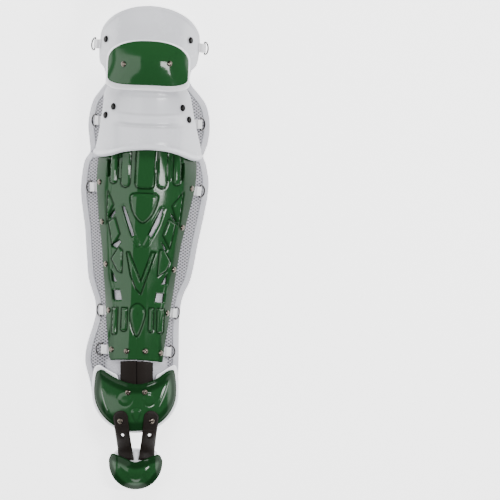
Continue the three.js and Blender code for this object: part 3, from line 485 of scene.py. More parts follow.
def shell(
    name, xy, surface, material, wall=SHELL_WALL, relief=None, windows=(), roll=1.2, masks=None, **more
):
    """A wall whose front follows a surface, with a relief, rounded borders and windows."""
    x, y = xy[..., 0].copy(), xy[..., 1].copy()
    keep = np.ones((x.shape[0] - 1, x.shape[1] - 1), bool)
    borders = [ring_of(np.stack([x, y], axis=-1))]
    middle = lambda g: (g[:-1, :-1] + g[1:, :-1] + g[:-1, 1:] + g[1:, 1:]) / 4
    for outline in windows:
        d = inside(x, y, outline)
        pitch = 0.62 * max(np.median(np.abs(np.diff(x, axis=1))), np.median(np.abs(np.diff(y, axis=0))))
        gx, gy = slopes(lambda p, q: inside(p, q, outline), x, y, 0.05)
        near = np.abs(d) < pitch
        x, y = np.where(near, x - gx * d, x), np.where(near, y - gy * d, y)
        keep &= inside(middle(x), middle(y), outline) > -0.02
        borders.append(resampled(np.asarray(outline, float), 0.5))
    fine = np.vstack([resampled(border, 0.3) for border in borders])
    lines = np.column_stack([fine, surface(fine[:, 0], fine[:, 1])])
    base = np.stack([x, y, surface(x, y)], axis=-1)
    n = normals(surface, x, y)
    d = nearest(base.reshape(-1, 3), lines).reshape(x.shape)
    turn = roll - np.sqrt(np.maximum(0, roll ** 2 - (roll - np.minimum(d, roll)) ** 2))
    height = relief(x, y, d) if relief else np.zeros_like(x)
    front = base + n * (height - 0.3 * turn)[..., None]
    front[..., 2] -= 0.7 * turn * n[..., 2]
    back = base - n * (wall - 0.7 * turn)[..., None]
    points = np.concatenate([front.reshape(-1, 3), back.reshape(-1, 3)])
    given = {"rim": np.tile((d < roll * 0.8).ravel(), 2).astype(float)}
    for key, make in (masks or {}).items():
        values = make(x, y, d).ravel()
        given[key] = np.concatenate([values, values * 0])
    return finish_mesh(name, points, wall_faces(keep), material, masks=given, **more)


# %% [markdown]
# ## Finishes
# Each finish is one Principled shader. What differs over the surface comes from small node groups that
# are shared: a fine grain for the normal, slow marks for the roughness, and an open mesh for the cloth.
# Numbers that are the same everywhere stay on the shader's own sockets.

# %% Node helpers
def plug(tree, socket, value):
    """Links a socket, or gives it a plain value."""
    if isinstance(value, bpy.types.NodeSocket):
        tree.links.new(value, socket)
    else:
        socket.default_value = value


def add_node(tree, kind, inputs=None, **settings):
    new = tree.nodes.new(kind)
    for key, value in settings.items():
        setattr(new, key, value)
    for key, value in (inputs or {}).items():
        plug(tree, new.inputs[key], value)
    return new


def number(tree, operation, *values):
    """One step of arithmetic between sockets or plain numbers."""
    return add_node(tree, "ShaderNodeMath", dict(enumerate(values)), operation=operation).outputs[0]


def blend_colour(tree, factor, a, b):
    return add_node(tree, "ShaderNodeMix", {0: factor, 6: a, 7: b}, data_type="RGBA").outputs[2]


def new_group(name, inputs, outputs):
    """A shader group and its inputs. Every socket is a number, apart from the normal."""
    tree = bpy.data.node_groups.new(name, "ShaderNodeTree")
    for label, value in inputs.items():
        socket = tree.interface.new_socket(name=label, in_out="INPUT", socket_type="NodeSocketFloat")
        socket.default_value = value
    for label in outputs:
        kind = "NodeSocketVector" if label == "Normal" else "NodeSocketFloat"
        tree.interface.new_socket(name=label, in_out="OUTPUT", socket_type=kind)
    return tree, add_node(tree, "NodeGroupInput").outputs


def srgb(*levels):
    """A colour from screen levels of 0 to 255."""
    c = np.array(levels, float) / 255
    linear = np.where(c <= 0.04045, c / 12.92, ((c + 0.055) / 1.055) ** 2.4)
    return (*linear.tolist(), 1.0)


# %% Group: a fine grain for the normal
grain, given = new_group("fine_grain", {"Scale": 900.0, "Height": 0.02, "Pitting": 0.0}, ["Normal"])
at = {"Vector": add_node(grain, "ShaderNodeTexCoord").outputs["Object"], "Scale": given["Scale"]}
ripple = add_node(grain, "ShaderNodeTexNoise", {**at, "Detail": 3}).outputs["Fac"]
cells = add_node(grain, "ShaderNodeTexVoronoi", at, feature="DISTANCE_TO_EDGE").outputs["Distance"]
creases = number(grain, "MULTIPLY", number(grain, "MINIMUM", cells, 0.12), 6.0)
height = add_node(grain, "ShaderNodeMix", {0: given["Pitting"], 2: ripple, 3: creases}, data_type="FLOAT")
bump = {"Distance": 0.0006, "Strength": given["Height"], "Height": height.outputs[0]}
add_node(grain, "NodeGroupOutput", {"Normal": add_node(grain, "ShaderNodeBump", bump).outputs["Normal"]})

# %% Group: slow marks from handling
marks, given = new_group("handling_marks", {"Low": 0.1, "High": 0.25}, ["Roughness", "Mask"])
at = {"Vector": add_node(marks, "ShaderNodeTexCoord").outputs["Object"], "Scale": 28}
cloud = add_node(marks, "ShaderNodeTexNoise", {**at, "Detail": 6, "Roughness": 0.62}).outputs["Fac"]
span = {"Value": cloud, "From Min": 0.35, "From Max": 0.72, "To Min": given["Low"], "To Max": given["High"]}
spread = add_node(marks, "ShaderNodeMapRange", span).outputs["Result"]
add_node(marks, "NodeGroupOutput", {"Roughness": spread, "Mask": cloud})

# %% Group: an open knitted mesh
knit, given = new_group("open_mesh", {"Pitch": 4.3}, ["Hole", "Height"])
cloth_map = add_node(knit, "ShaderNodeUVMap", uv_map="cloth").outputs["UV"]
split = add_node(knit, "ShaderNodeSeparateXYZ", {"Vector": cloth_map}).outputs
column = number(knit, "DIVIDE", split["X"], number(knit, "MULTIPLY", given["Pitch"], 1.6))
line = number(knit, "DIVIDE", split["Y"], given["Pitch"])
phases = [number(knit, way, column, line) for way in ("ADD", "SUBTRACT")]
waves = [number(knit, "SINE", number(knit, "MULTIPLY", phase, math.pi)) for phase in phases]
weave = number(knit, "ABSOLUTE", number(knit, "MULTIPLY", *waves))
span = {"Value": weave, "From Min": 0.34, "From Max": 0.58}
hole = add_node(knit, "ShaderNodeMapRange", span).outputs["Result"]
add_node(knit, "NodeGroupOutput", {"Hole": hole, "Height": number(knit, "SUBTRACT", 1.0, hole)})


# %% The finishes
def finish(name, slot, rough=None, grained=None, **sockets):
    """A Principled finish, with a roughness from low to high, and a grain's scale, height and pitting."""
    material = bpy.data.materials.new(name)
    material.use_nodes = True
    material["slot"] = slot
    tree, shader = material.node_tree, material.node_tree.nodes["Principled BSDF"].inputs
    for key, value in sockets.items():
        shader[key.replace("_", " ")].default_value = value
    material.diffuse_color = sockets.get("Base_Color", (0.8, 0.8, 0.8, 1))
    spots = None
    if rough:
        spots = add_node(tree, "ShaderNodeGroup", dict(zip(("Low", "High"), rough)), node_tree=marks).outputs
        plug(tree, shader["Roughness"], spots["Roughness"])
    if grained:
        ripples = dict(zip(("Scale", "Height", "Pitting"), grained))
        rippled = add_node(tree, "ShaderNodeGroup", ripples, node_tree=grain)
        plug(tree, shader["Normal"], rippled.outputs["Normal"])
    return material, tree, shader, spots


def mask(tree, name):
    return add_node(tree, "ShaderNodeAttribute", attribute_name=name).outputs["Fac"]


def moulded(name, slot, colour, worn, rough, ripple, coat=0.0, specular=0.4):
    """Moulded plastic: rubbed rims, and painted shade that makes grooves and other shaded places darker and
    dull.
    """
    coats = {"Coat_Weight": coat, "Coat_Roughness": 0.1}
    material, tree, shader, spots = finish(name, slot, rough, (420.0, ripple), **coats)
    # The groove mask is painted shade: it darkens the colour and dulls the gloss in grooves, slots and other
    # shaded places.
    rim, painted_shade = mask(tree, "rim"), mask(tree, "groove")
    rubbed = number(tree, "MULTIPLY", rim, number(tree, "MULTIPLY", spots["Mask"], 0.7))
    shade_colour = tuple(c * 0.08 for c in colour[:3]) + (1,)
    shade, handled = number(tree, "MULTIPLY", painted_shade, 0.85), blend_colour(tree, rubbed, colour, worn)
    plug(tree, shader["Base Color"], blend_colour(tree, shade, handled, shade_colour))
    bright = number(tree, "SUBTRACT", 1.0, number(tree, "MAXIMUM", rim, painted_shade))
    plug(tree, shader["Specular IOR Level"], number(tree, "MULTIPLY", bright, specular))
    return material


GREEN, GREY, BLACK, DARK_RIVET = (
    moulded(name, slot, srgb(*colour), srgb(*worn), *more)
    for name, slot, colour, worn, *more in (
        ("green_gloss", "shell_green", (24, 61, 31), (12, 40, 19), (0.09, 0.16), 0.05, 0.0, 0.3),
        ("grey_gloss", "shell_grey", (197, 198, 203), (180, 181, 186), (0.2, 0.32), 0.05, 0.3),
        ("black_plastic", "strap_black", (26, 22, 20), (40, 36, 34), (0.42, 0.56), 0.12, 0.0, 0.1),
        ("black_rivet", "rivet_black", (5, 5, 5), (20, 18, 17), (0.26, 0.4), 0.05, 0.0, 0.14),
    )
)
SHEEN = {"Sheen_Weight": 0.1}
LEATHER, BINDING, TAB, THREAD, STEEL, WIRE = (
    finish(name, slot, rough, grained, Base_Color=srgb(*colour), **more)[0]
    for name, slot, colour, rough, grained, more in (
        ("white_leather", "padding_white", (226, 226, 230), (0.5, 0.7), (650.0, 0.35, 0.6), SHEEN),
        ("smooth_binding", "padding_white", (156, 156, 163), (0.42, 0.62), (800.0, 0.25, 0.5), SHEEN),
        ("white_tab", "tab_white", (206, 206, 208), (0.35, 0.55), (1500.0, 0.3), {}),
        ("thread", "padding_white", (172, 174, 180), (0.6, 0.8), (4000.0, 0.5), {}),
        ("bright_steel", "steel", (104, 97, 89), (0.22, 0.38), (2600.0, 0.08), {"Metallic": 1.0}),
        ("ring_wire", "steel", (40, 38, 37), (0.3, 0.45), (2600.0, 0.08), {"Metallic": 0.5}),
    )
)

MESH, tree, shader, _ = finish("open_mesh_cloth", "padding_mesh", (0.7, 0.9), Sheen_Weight=0.25)
net = add_node(tree, "ShaderNodeGroup", node_tree=knit).outputs
plain = mask(tree, "plain")
open_share = number(tree, "MULTIPLY", net["Hole"], number(tree, "SUBTRACT", 1.0, plain))
# Where plain is set, the yarn is painted lighter: painted light against the shells' shade.
yarn = blend_colour(tree, plain, srgb(146, 145, 152), srgb(176, 175, 182))
plug(tree, shader["Base Color"], blend_colour(tree, open_share, yarn, srgb(46, 46, 52)))
bump = add_node(tree, "ShaderNodeBump", {"Strength": 0.6, "Distance": 0.0005, "Height": net["Height"]})
plug(tree, shader["Normal"], bump.outputs["Normal"])
print("finishes:", len(bpy.data.materials))

# %% [markdown]
# ## Padding
# The padding is a foam slab wrapped round the leg, covered with an open mesh and bound along its edge
# with a smooth tape. A slab is drawn from a top and a bottom surface that close in a half round along
# the border, so it has no flat side. A cloth simulation then swells what lies between the seams, which
# are held still, and keeps the cover's own map for the weave.


# %% A slab that closes in a half round
def slab_heights(top, bottom, d, radius):
    """Both heights, drawn together over the last few millimetres before the border."""
    middle = (top + bottom) / 2
    close = np.sqrt(np.clip(1 - (1 - np.minimum(d / radius, 1)) ** 2, 0, 1))
    return middle + (top - middle) * close, middle - (middle - bottom) * close


def slab(name, xy, top, bottom, radius, material, relief=None, seams=None, plain=None, **more):
    x, y = xy[..., 0], xy[..., 1]
    high, low = top(x, y), bottom(x, y)
    in_plan = lambda p, q: np.column_stack([p, q, p * 0])
    border = resampled(ring_of(xy), 0.4)
    d = nearest(in_plan(x.ravel(), y.ravel()), in_plan(*border.T)).reshape(x.shape)
    d[0] = d[-1] = d[:, 0] = d[:, -1] = 0
    if relief:
        high = high + relief(x, y, d)
    high, low = slab_heights(high, low, d, radius)
    points = np.concatenate([np.stack([x, y, z], axis=-1).reshape(-1, 3) for z in (high, low)])
    given = {"hold": np.tile((seams(x, y, d) if seams else (d < radius)).ravel().astype(float), 2)}
    if plain:
        given["plain"] = np.tile(plain(x, y).ravel(), 2)
    step = np.hypot(np.diff(x, axis=1), 0.4 * np.diff(high, axis=1))
    run = np.concatenate([np.zeros((len(x), 1)), np.cumsum(step, axis=1)], axis=1)
    uv = np.stack([run - run[:, x.shape[1] // 2][:, None], y], axis=-1)
    faces = wall_faces(np.ones((x.shape[0] - 1, x.shape[1] - 1), bool))
    flat = np.tile(uv.reshape(-1, 2), (2, 1))
    return finish_mesh(name, points, faces, material, masks=given, uv=flat, sharp=0, **more)


def places_of(data):
    at = np.empty(len(data.vertices) * 3)
    data.vertices.foreach_get("co", at)
    return at.reshape(-1, 3)


SWELL_PRESSURE, SWELL_FRAMES = 4.0, 20


def swell(piece, limit):
    """Lets the cover swell between its seams, then smooths it once."""
    data = piece.data
    start = places_of(data)
    hold = np.empty(len(data.vertices), np.float32)
    data.attributes["hold"].data.foreach_get("value", hold)
    pins = piece.vertex_groups.new(name="seams")
    pins.add(np.flatnonzero(hold > 0.5).tolist(), 1.0, "REPLACE")
    cloth = piece.modifiers.new("swell", "CLOTH")
    cloth.settings.use_pressure = True
    cloth.settings.uniform_pressure_force = SWELL_PRESSURE
    cloth.settings.effector_weights.gravity = 0
    cloth.settings.quality = 4
    cloth.settings.tension_stiffness = cloth.settings.compression_stiffness = 20
    cloth.settings.vertex_group_mass = "seams"
    cloth.point_cache.frame_end = SWELL_FRAMES
    for step in range(1, SWELL_FRAMES + 1):
        bpy.context.scene.frame_set(step)
    move = places_of(piece.evaluated_get(bpy.context.evaluated_depsgraph_get()).data) - start
    size = np.linalg.norm(move, axis=1, keepdims=True)
    move *= np.minimum(1, limit * MM / np.maximum(size, 1e-9))
    piece.modifiers.remove(cloth)
    piece.vertex_groups.remove(pins)
    settled = start + move
    settled[:, 2] = np.maximum(settled[:, 2], np.minimum(start[:, 2], 0))
    data.vertices.foreach_set("co", settled.ravel())
    bpy.context.scene.frame_set(1)
    most = float(np.linalg.norm(move, axis=1).max()) / MM
    print(piece.name, "swelled by up to", round(most, 1), "mm")
    finer = piece.modifiers.new("finer", "SUBSURF")
    finer.levels = finer.render_levels = 1


def padding(limit, *given, **more):
    """A slab whose cover swells."""
    piece = slab(*given, **more)
    swell(piece, limit)


# %% The shin padding and the knee padding
SHIN_PAD_TOP = leg_y(0.969)
PAD_RADIUS, BINDING_WIDTH = 3.4, 8.0
pad_low = lambda u: leg_y(-0.16) - 40 * dome(u, 2)
pad_end = lambda u: leg_y(1.3) + (leg_y(1.361) - leg_y(1.3)) * dome(u, 3)


def pad_grid(low, high, length):
    pitch, ends = 3.4, (*PAD_ENDS, 4.2)
    us = 2 * spaced(2 * PAD_HALF_WIDTH, pitch, (*ends, 6.4)) - 1
    u, v = np.meshgrid(us, spaced(length, pitch, ends))
    return leg_patch(leg.left, leg.right, leg.centre, u, mix(low(u), high(u), v))


def under(x, y, left, right, low, length):
    """How far inside a shell's outline a point lies, in plan."""
    return np.minimum.reduce([x - left(y), right(y) - x, y - low, low + length - y])


under_plate = lambda x, y: under(x, y, plate_left, plate_right, *ON_SHIN)


def covered(x, y):
    """How far under a hard shell a point lies."""
    a, b = leg_to_ankle(x, y)
    ankle_sides = steady(-1.4 - ANKLE_HALF_WIDTH), steady(ANKLE_HALF_WIDTH - 1.4)
    under_knee = under(x, y, knee_left, knee_right, *ON_KNEE)
    return np.maximum.reduce([under_plate(x, y), under_knee, under(a, b, *ankle_sides, -100, 80)])


def pad_top(x, y):
    return leg.z(x, y) - 1.0 * smooth(covered(x, y) / 6)


def pad_bottom(x, y):
    dx, _ = slopes(leg.z, x, y)
    return np.maximum(np.maximum(0, leg_hem(y) - HEM_HEIGHT), leg.z(x, y) - PAD_WALL * np.hypot(1, dx))


def pad_relief(x, y, d):
    tape = 0.9 * smooth((BINDING_WIDTH + 0.8 - d) / 1.2)
    stitched = groove(d - BINDING_WIDTH - 1.2, 1.3, 1.3)
    return -tape * 0.9 + stitched


def pad_seams(x, y, d):
    return (d < BINDING_WIDTH + 2.5) | (covered(x, y) > 2)


def plain_and_lit_panel(x, y):
    """Where the shin padding is plain: behind the plate's windows and beside the band. There its yarn is also
    painted lighter, a painted light against the shade that the shells cast on it.
    """
    a, b = leg_to_ankle(x, y)
    beside = smooth((43 - np.abs(a - 1)) / 3) * smooth((b + 36) / 3) * smooth((6 - b) / 3)
    return np.maximum(beside, smooth((under_plate(x, y) - 5) / 3))


shin_xy = pad_grid(pad_low, steady(SHIN_PAD_TOP), 290)
knee_xy = pad_grid(steady(SHIN_PAD_TOP + 0.8), pad_end, 110)
covers = (pad_top, pad_bottom, PAD_RADIUS, MESH, pad_relief, pad_seams)
padding(1.6, "shin_padding", shin_xy, *covers, plain_and_lit_panel, stands_for=["shin_pad"])
padding(1.6, "knee_padding", knee_xy, *covers, stands_for=["knee_pad"])


# %% The binding tape round both pads
def inward(line):
    """Unit vectors in plan that point into a closed line."""
    ahead = np.roll(line, -1, axis=0) - np.roll(line, 1, axis=0)
    ahead /= np.linalg.norm(ahead, axis=1, keepdims=True)
    left = np.column_stack([-ahead[:, 1], ahead[:, 0]])
    area = np.sum(line[:, 0] * np.roll(line[:, 1], -1) - np.roll(line[:, 0], -1) * line[:, 1])
    return left if area > 0 else -left


TAPE = (  # the tape's section: distance from the border, top or underside, and how proud it stands
    (8.0, 1, -0.3), (7.7, 1, 0.25), (7.0, 1, 0.55), (5.6, 1, 0.55), (4.2, 1, 0.55), (3.0, 1, 0.55),
    (2.0, 1, 0.55), (1.1, 1, 0.55), (0.4, 1, 0.55), (0, 1, 0.55), (0.4, -1, 0.55), (1.1, -1, 0.55),
    (2.0, -1, 0.55), (3.0, -1, 0.55), (4.2, -1, 0.55), (5.6, -1, 0.25), (6.6, -1, -0.3),
)


def binding(name, xy):
    line = resampled(ring_of(xy), 2.2)
    n = inward(line)
    for _ in range(6):
        n = (np.roll(n, 1, axis=0) + n + np.roll(n, -1, axis=0)) / 3
    n /= np.linalg.norm(n, axis=1, keepdims=True)
    rings = []
    for d, side, grow in TAPE:
        p = line + n * d
        top, bottom = pad_top(p[:, 0], p[:, 1]) - 0.5, pad_bottom(p[:, 0], p[:, 1])
        high, low = slab_heights(top, bottom, np.full(len(p), float(d)), PAD_RADIUS)
        close = math.sqrt(max(0, 1 - (1 - min(d / PAD_RADIUS, 1)) ** 2))
        z = (high + grow * close) if side > 0 else np.maximum(low - grow * close * 0.3, 0.02)
        rings.append(np.column_stack([p - n * grow * (1 - close), z]))
    faces = tube_faces(len(rings), len(line))[:, [0, 3, 2, 1]]
    piece = finish_mesh(name, np.concatenate(rings), faces, BINDING, sharp=0)
    wall = piece.modifiers.new("wall", "SOLIDIFY")
    wall.thickness, wall.offset = 0.0008, -1
    seam = mix(rings[1], rings[2], 0.6)
    ahead = np.roll(seam, -1, axis=0) - seam
    up = np.cross(ahead, rings[1] - rings[3])
    up *= np.sign(up[:, 2:])
    return seam, ahead, up


binding_seams = [binding("shin_binding", shin_xy), binding("knee_binding", knee_xy)]

# %% [markdown]
# ## The shin plate
# The plate is injection moulded: raised bars, a shield and a teardrop stand on it, grooves run round
# them, and windows go through. Its two halves are flattened a little, so that they meet in a crisp
# ridge. The relief is a sum of small steps and grooves, each from an outline in plan.


# %% Outlines on the plate
def box_outline(left, right, low, high, round_low=3.0):
    r = min(round_low, (right - left) / 2)
    return [(left, low + r), (left + 0.3 * r, low + 0.3 * r), (left + r, low), (right - r, low),
            (right - 0.3 * r, low + 0.3 * r), (right, low + r), (right, high), (left, high)]


def rounded(points, times=2):
    """Cuts the corners of a closed outline."""
    points = np.asarray(points, float)
    for _ in range(times):
        after = np.roll(points, -1, axis=0)
        points = np.stack([0.75 * points + 0.25 * after, 0.25 * points + 0.75 * after], axis=1).reshape(-1, 2)
    return points


UNDER_KNEE = 145
BARS = [box_outline(*sides) for sides in (
    (-12.4, 13.9, 82.2, UNDER_KNEE, 6), (-32.6, -19.9, 83.2, UNDER_KNEE, 5), (18, 31.7, 83.2, UNDER_KNEE, 5),
    (-46.8, -38.6, 87.7, UNDER_KNEE), (40.8, 49, 88.2, UNDER_KNEE), (-36.4, -30.1, -118.8, -82.8, 2),
    (-24.5, -16.5, -113.8, -82.8, 2), (14.2, 20.2, -113.8, -81.8, 2), (25.3, 33.3, -114.8, -81.8, 2),
)]
SLOTS_BESIDE = [box_outline(*sides, 1.5) for sides in (
    (-37.6, -33.2, 94, 124), (-52, -47.6, 96, 121), (33, 37.6, 93, 124), (50.6, 54.4, 94, 119),
)]
SHIELD = rounded([
    (-11, 74.6), (10.4, 75), (19.4, 72.6), (19.6, 65.6), (16.9, 56), (10.6, 43), (1.4, 34), (-5.9, 37.2),
    (-14.3, 49.6), (-18.2, 64.2), (-18.2, 72.2),
])
TEARDROP = rounded([
    (-2.5, -74.8), (6.8, -81.4), (9, -90.4), (4.6, -107.4), (-2, -124.5), (-9.8, -108), (-12.7, -91.3),
    (-11.2, -80.8),
])
CHEVRON = [(-20.6, -6.4), (-16.4, -6.4), (0.6, -46), (14.2, -5), (19.2, -5.4), (8.6, -38.8), (1.2, -62.8),
           (-6.2, -54.8), (-13.8, -36.8)]
CHANNELS = [
    [(-29.4, 56), (-26.3, 56.7), (-22.7, 44), (-11.1, 17.2), (-3.4, 4), (-6.4, 3.2), (-14.5, 15),
     (-23.8, 37)],
    [(28.7, 55.2), (25.9, 54.4), (15.5, 34.4), (9.9, 18), (3.4, 4.6), (6.2, 3.6), (12.7, 16.1),
     (21.2, 31.8)],
]
FLANKS = [
    [(-49.3, 76.5), (-41.5, 58.6), (-46.6, 45.8), (-49.6, 33)],
    [(-46.9, 34.6), (-38.7, 40.6), (-31.5, 18.5), (-40.6, 1.3)],
    [(53.6, 77.8), (40.5, 59), (44.6, 46), (49.6, 33)],
    [(45, 34.6), (36.8, 40.6), (29.6, 18.5), (38.7, 1.3)],
    [(-32.2, 0.3), (-27, -3.7), (-26.6, -34.5), (-32.2, -32), (-41.2, -15.5)],
    [(26, -1.6), (32.4, -2.7), (39.9, -16.4), (34.9, -29.2), (24, -37.4)],
]
WINDOWS = {
    "long left": [(-0.43, 0.717), (-0.385, 0.719), (-0.155, 0.587), (-0.205, 0.577)],
    "long right": [(0.418, 0.714), (0.377, 0.712), (0.136, 0.59), (0.19, 0.577), (0.348, 0.645)],
    "square left": [(-0.547, 0.326), (-0.414, 0.327), (-0.376, 0.283), (-0.522, 0.28)],
    "square right": [(0.353, 0.319), (0.497, 0.318), (0.482, 0.277), (0.329, 0.279)],
    "low tooth left": [(-0.593, 0.419), (-0.487, 0.368), (-0.554, 0.366)],
    "low tooth right": [(0.541, 0.411), (0.529, 0.363), (0.445, 0.361)],
    "high slit left": [(-0.677, 0.666), (-0.582, 0.702), (-0.569, 0.688), (-0.646, 0.661)],
    "high slit right": [(0.574, 0.689), (0.607, 0.685), (0.672, 0.657), (0.652, 0.656)],
    "mid slit left": [(-0.614, 0.536), (-0.465, 0.561), (-0.437, 0.551), (-0.52, 0.524)],
    "mid slit right": [(0.414, 0.555), (0.446, 0.548), (0.512, 0.522), (0.481, 0.522)],
}
plate_windows = [[(sx * PLATE_HALF_WIDTH, leg_y(up)) for sx, up in corners] for corners in WINDOWS.values()]


# %% The plate's relief
STRIP = 10.8  # half the width of the flat strip along the middle


def reliefs(x, y, *kinds):
    """Raised outlines, each with a groove at its foot: height, bevel, the groove's place, depth and width."""
    h = np.zeros(np.shape(x))
    for outlines, height, bevel, foot, depth, width in kinds:
        for outline in outlines:
            e = inside(x, y, outline)
            h = h + raised(e, height, bevel) + groove(e - foot, depth, width)
    return h


def crease(y):
    """How far the two inner halves reach, from the middle line to the flank crease."""
    return 28 + 20 * smooth((y + 150) / 230)


def facets(x, y):
    """A flat strip along the middle, and a flatter face from there to each flank crease."""
    c = leg.centre(y)
    reach, t, side = crease(y), np.abs(x - c), np.sign(x - c)
    here, at_strip = plate_outer(x, y), plate_outer(c + side * STRIP, y)
    chord = mix(at_strip, plate_outer(c + side * reach, y), np.clip((t - STRIP) / (reach - STRIP), 0, 1))
    face = np.where(t < reach, 0.5 * np.minimum(0, chord - here), 0)
    return np.where(t < STRIP, np.minimum(0, at_strip - here), face)


def knee_share(x, y):
    """Where a point lies across the knee shell, from -1 to 1."""
    c = leg.centre(y)
    return np.clip(np.where(x < c, (x - c) / (c - knee_left(y)), (x - c) / (knee_right(y) - c)), -1, 1)


def plate_relief(x, y, d):
    below_knee = smooth((knee_low(knee_share(x, y)) + 0.5 - y) / 2)
    h = facets(x, y) + reliefs(x, y, (BARS, 2.5, 2.2, 0.6, 0.5, 0.8)) * below_knee
    h = h + reliefs(
        x, y, ((SHIELD, TEARDROP), 2.4, 3.2, 0.9, 0.8, 0.9), ([CHEVRON], 1.6, 1.6, 0, 0.9, 1.0),
        (FLANKS, 1.3, 1.5, 0.5, 0.5, 0.8), (SLOTS_BESIDE, -2.3, 0.9, 0, 0, 1),
    )
    for outline in CHANNELS:
        e = inside(x, y, outline)
        h = h + raised(e - 1.7, 0.9, 1.5) + groove(e - 2.4, 0.5, 0.7)
    for outline in plate_windows:
        h = h - 0.9 * smooth((2.2 - inside(x, y, outline)) / 2.2)
    t = np.abs(x - leg.centre(y)) - crease(y)
    return h + groove(t, 0.5, 1.2) * smooth((y + 150) / 60)


def plate_painted_shade(x, y, d):
    """Painted shade: darker at the foot of each form, in the slots, on the upper left side of each window
    where its inner wall is shaded, and down the flanks, the right one more, where they turn from the light.
    """
    drawn = [*BARS, *FLANKS, SHIELD, TEARDROP, CHEVRON]
    feet = [np.exp(-((inside(x, y, outline) - 0.6) / 0.8) ** 2) for outline in drawn]
    slots = [smooth(-inside(x, y, outline) / 0.5) for outline in SLOTS_BESIDE]
    sides = [smooth(0.4 - inside(x + 1.8, y - 1.0, outline)) for outline in plate_windows]
    t = x - leg.centre(y)
    flank = np.where(t > 0, 0.45, 0.2) * smooth((np.abs(t) - crease(y) - 1) / 4)
    return np.maximum.reduce([*feet, *slots, *sides, flank])


u, v = np.meshgrid(2 * spaced(2 * PLATE_HALF_WIDTH, 0.95) - 1, spaced(SHIN_LENGTH, 1.2))
plate_y = mix(PLATE_BOTTOM + 1.8 * (1 - u * u), leg_y(1), v)
plate_xy = leg_patch(plate_left, plate_right, leg.centre, u, plate_y)
shell(
    "shin_plate_shell", plate_xy, plate_outer, GREEN, relief=plate_relief, windows=plate_windows,
    masks={"groove": plate_painted_shade}, stands_for=["shin_plate"],
)

# %% [markdown]
# ## The knee and thigh shells
# Both are plain grey shells. The knee shell's lower edge is rolled outwards into a lip over the plate,
# with two soft steps across its front, and the thigh shell has a raised rim along its top.


# %% Knee shell
def knee_relief(x, y, d):
    u = knee_share(x, y)
    above = y - knee_low(u)
    lip = 1.6 * np.exp(-((above - 2.5) / 2.6) ** 2) - 0.8 * np.exp(-((above - 7.5) / 2.4) ** 2)
    low_step, high_step = smooth((y - 167 - 6 * u * u) / 4), smooth((y - 177 - 8 * u * u) / 5)
    steps = 2.4 * low_step - 2.8 * high_step + 1.4 * smooth((y - 205) / 7)
    return lip + steps * smooth((0.8 - np.abs(u)) / 0.4)


def knee_shade(x, y, d):
    across_knee = (x - leg.centre(y)) / KNEE_HALF_WIDTH
    low_line = np.exp(-((y - 165.5 - 6 * across_knee ** 2) / 1.4) ** 2)
    high_line = np.exp(-((y - 183 - 8 * across_knee ** 2) / 2) ** 2)
    lines = (0.32 * low_line + 0.26 * high_line) * smooth((0.75 - np.abs(across_knee)) / 0.4)
    return np.maximum(lines, 0.1 * smooth((y - 178) / 14))


def thigh_shade(x, y, d):
    """A little darker towards the top edge."""
    return 0.07 + 0.1 * smooth((y - 285) / 45)


u, v = shares(2 * KNEE_HALF_WIDTH, KNEE_LENGTH, 1.3)
knee_shell_xy = leg_patch(knee_left, knee_right, leg.centre, u, mix(knee_low(u), KNEE_LIP + KNEE_LENGTH, v))
shell("knee_shell_wall", knee_shell_xy, knee_outer, GREY, relief=knee_relief, roll=1.4,
      masks={"groove": knee_shade}, stands_for=["knee_shell"])


# %% Thigh shell
def thigh_top(u):
    return THIGH_BOTTOM + THIGH_LENGTH * (0.57 + 0.43 * dome(u, 2))


def thigh_relief(x, y, d):
    rim = 0.2 - 0.6 * smooth((d - 4.0) / 2.5)
    return rim * smooth((y - 262) / 14)


u, v = shares(2 * THIGH_HALF_WIDTH, THIGH_LENGTH, 1.3)
thigh_xy = leg_patch(thigh.left, thigh.right, thigh.centre, u, mix(THIGH_BOTTOM, thigh_top(u), v))
shell("thigh_shell_wall", thigh_xy, thigh.z, GREY, relief=thigh_relief, roll=1.4,
      masks={"groove": thigh_shade}, stands_for=["thigh_shell"])

# %% [markdown]
# ## The knee cap and its padding
# The cap is a glossy cup over the joint between the two shells. White padding lines it and shows as a
# lip under its lower edge.


# %% Knee cap
def cap_bottom(u):
    return CAP_MIDDLE - CAP_LENGTH * (0.34 + 0.245 * dome(u, 2.5) - 0.045 * (1 - u * u) ** 2)


def cap_top(u):
    return CAP_MIDDLE + 0.5 * CAP_LENGTH * dome(u, 2.3)


def cap_patch(rim, lip, pitch, ends):
    u, v = shares(2 * CAP_HALF_WIDTH, CAP_LENGTH, pitch, ends)
    x = -1 + u * (CAP_HALF_WIDTH + rim)
    return np.stack([x, mix(cap_bottom(u) - lip, cap_top(u) + rim, v)], axis=-1)


cap_xy = cap_patch(0, 0, 1.1, (0.3, 0.7, 1.4))
shell("knee_cap_shell", cap_xy, cap.z, GREEN, roll=0.9, stands_for=["knee_cap"])
cap_pad_over = lifted(cap.z, -SHELL_WALL - LAYER_GAP)
cap_pad_under = lambda x, y: np.maximum(lifted(thigh.z, LAYER_GAP)(x, y), LAYER_GAP + knee_outer(x, y))
cap_pad_top = lambda x, y: np.maximum(cap_pad_over(x, y) - 0.6, cap_pad_under(x, y) + 3.2)
padding(
    0.8, "knee_cap_padding", cap_patch(2.2, 7.5, 2.6, PAD_ENDS), cap_pad_top, cap_pad_under, 2.2, LEATHER,
    seams=lambda x, y, d: (d < 0.3) | (d > 9), stands_for=["knee_cap_pad"],
)

# %% [markdown]
# ## The ankle
# A black band bends between the plate and the ankle shell. The ankle shell has two leaf-shaped ribs,
# two ovals and a drop on its front, and its padding shows as a white rim.


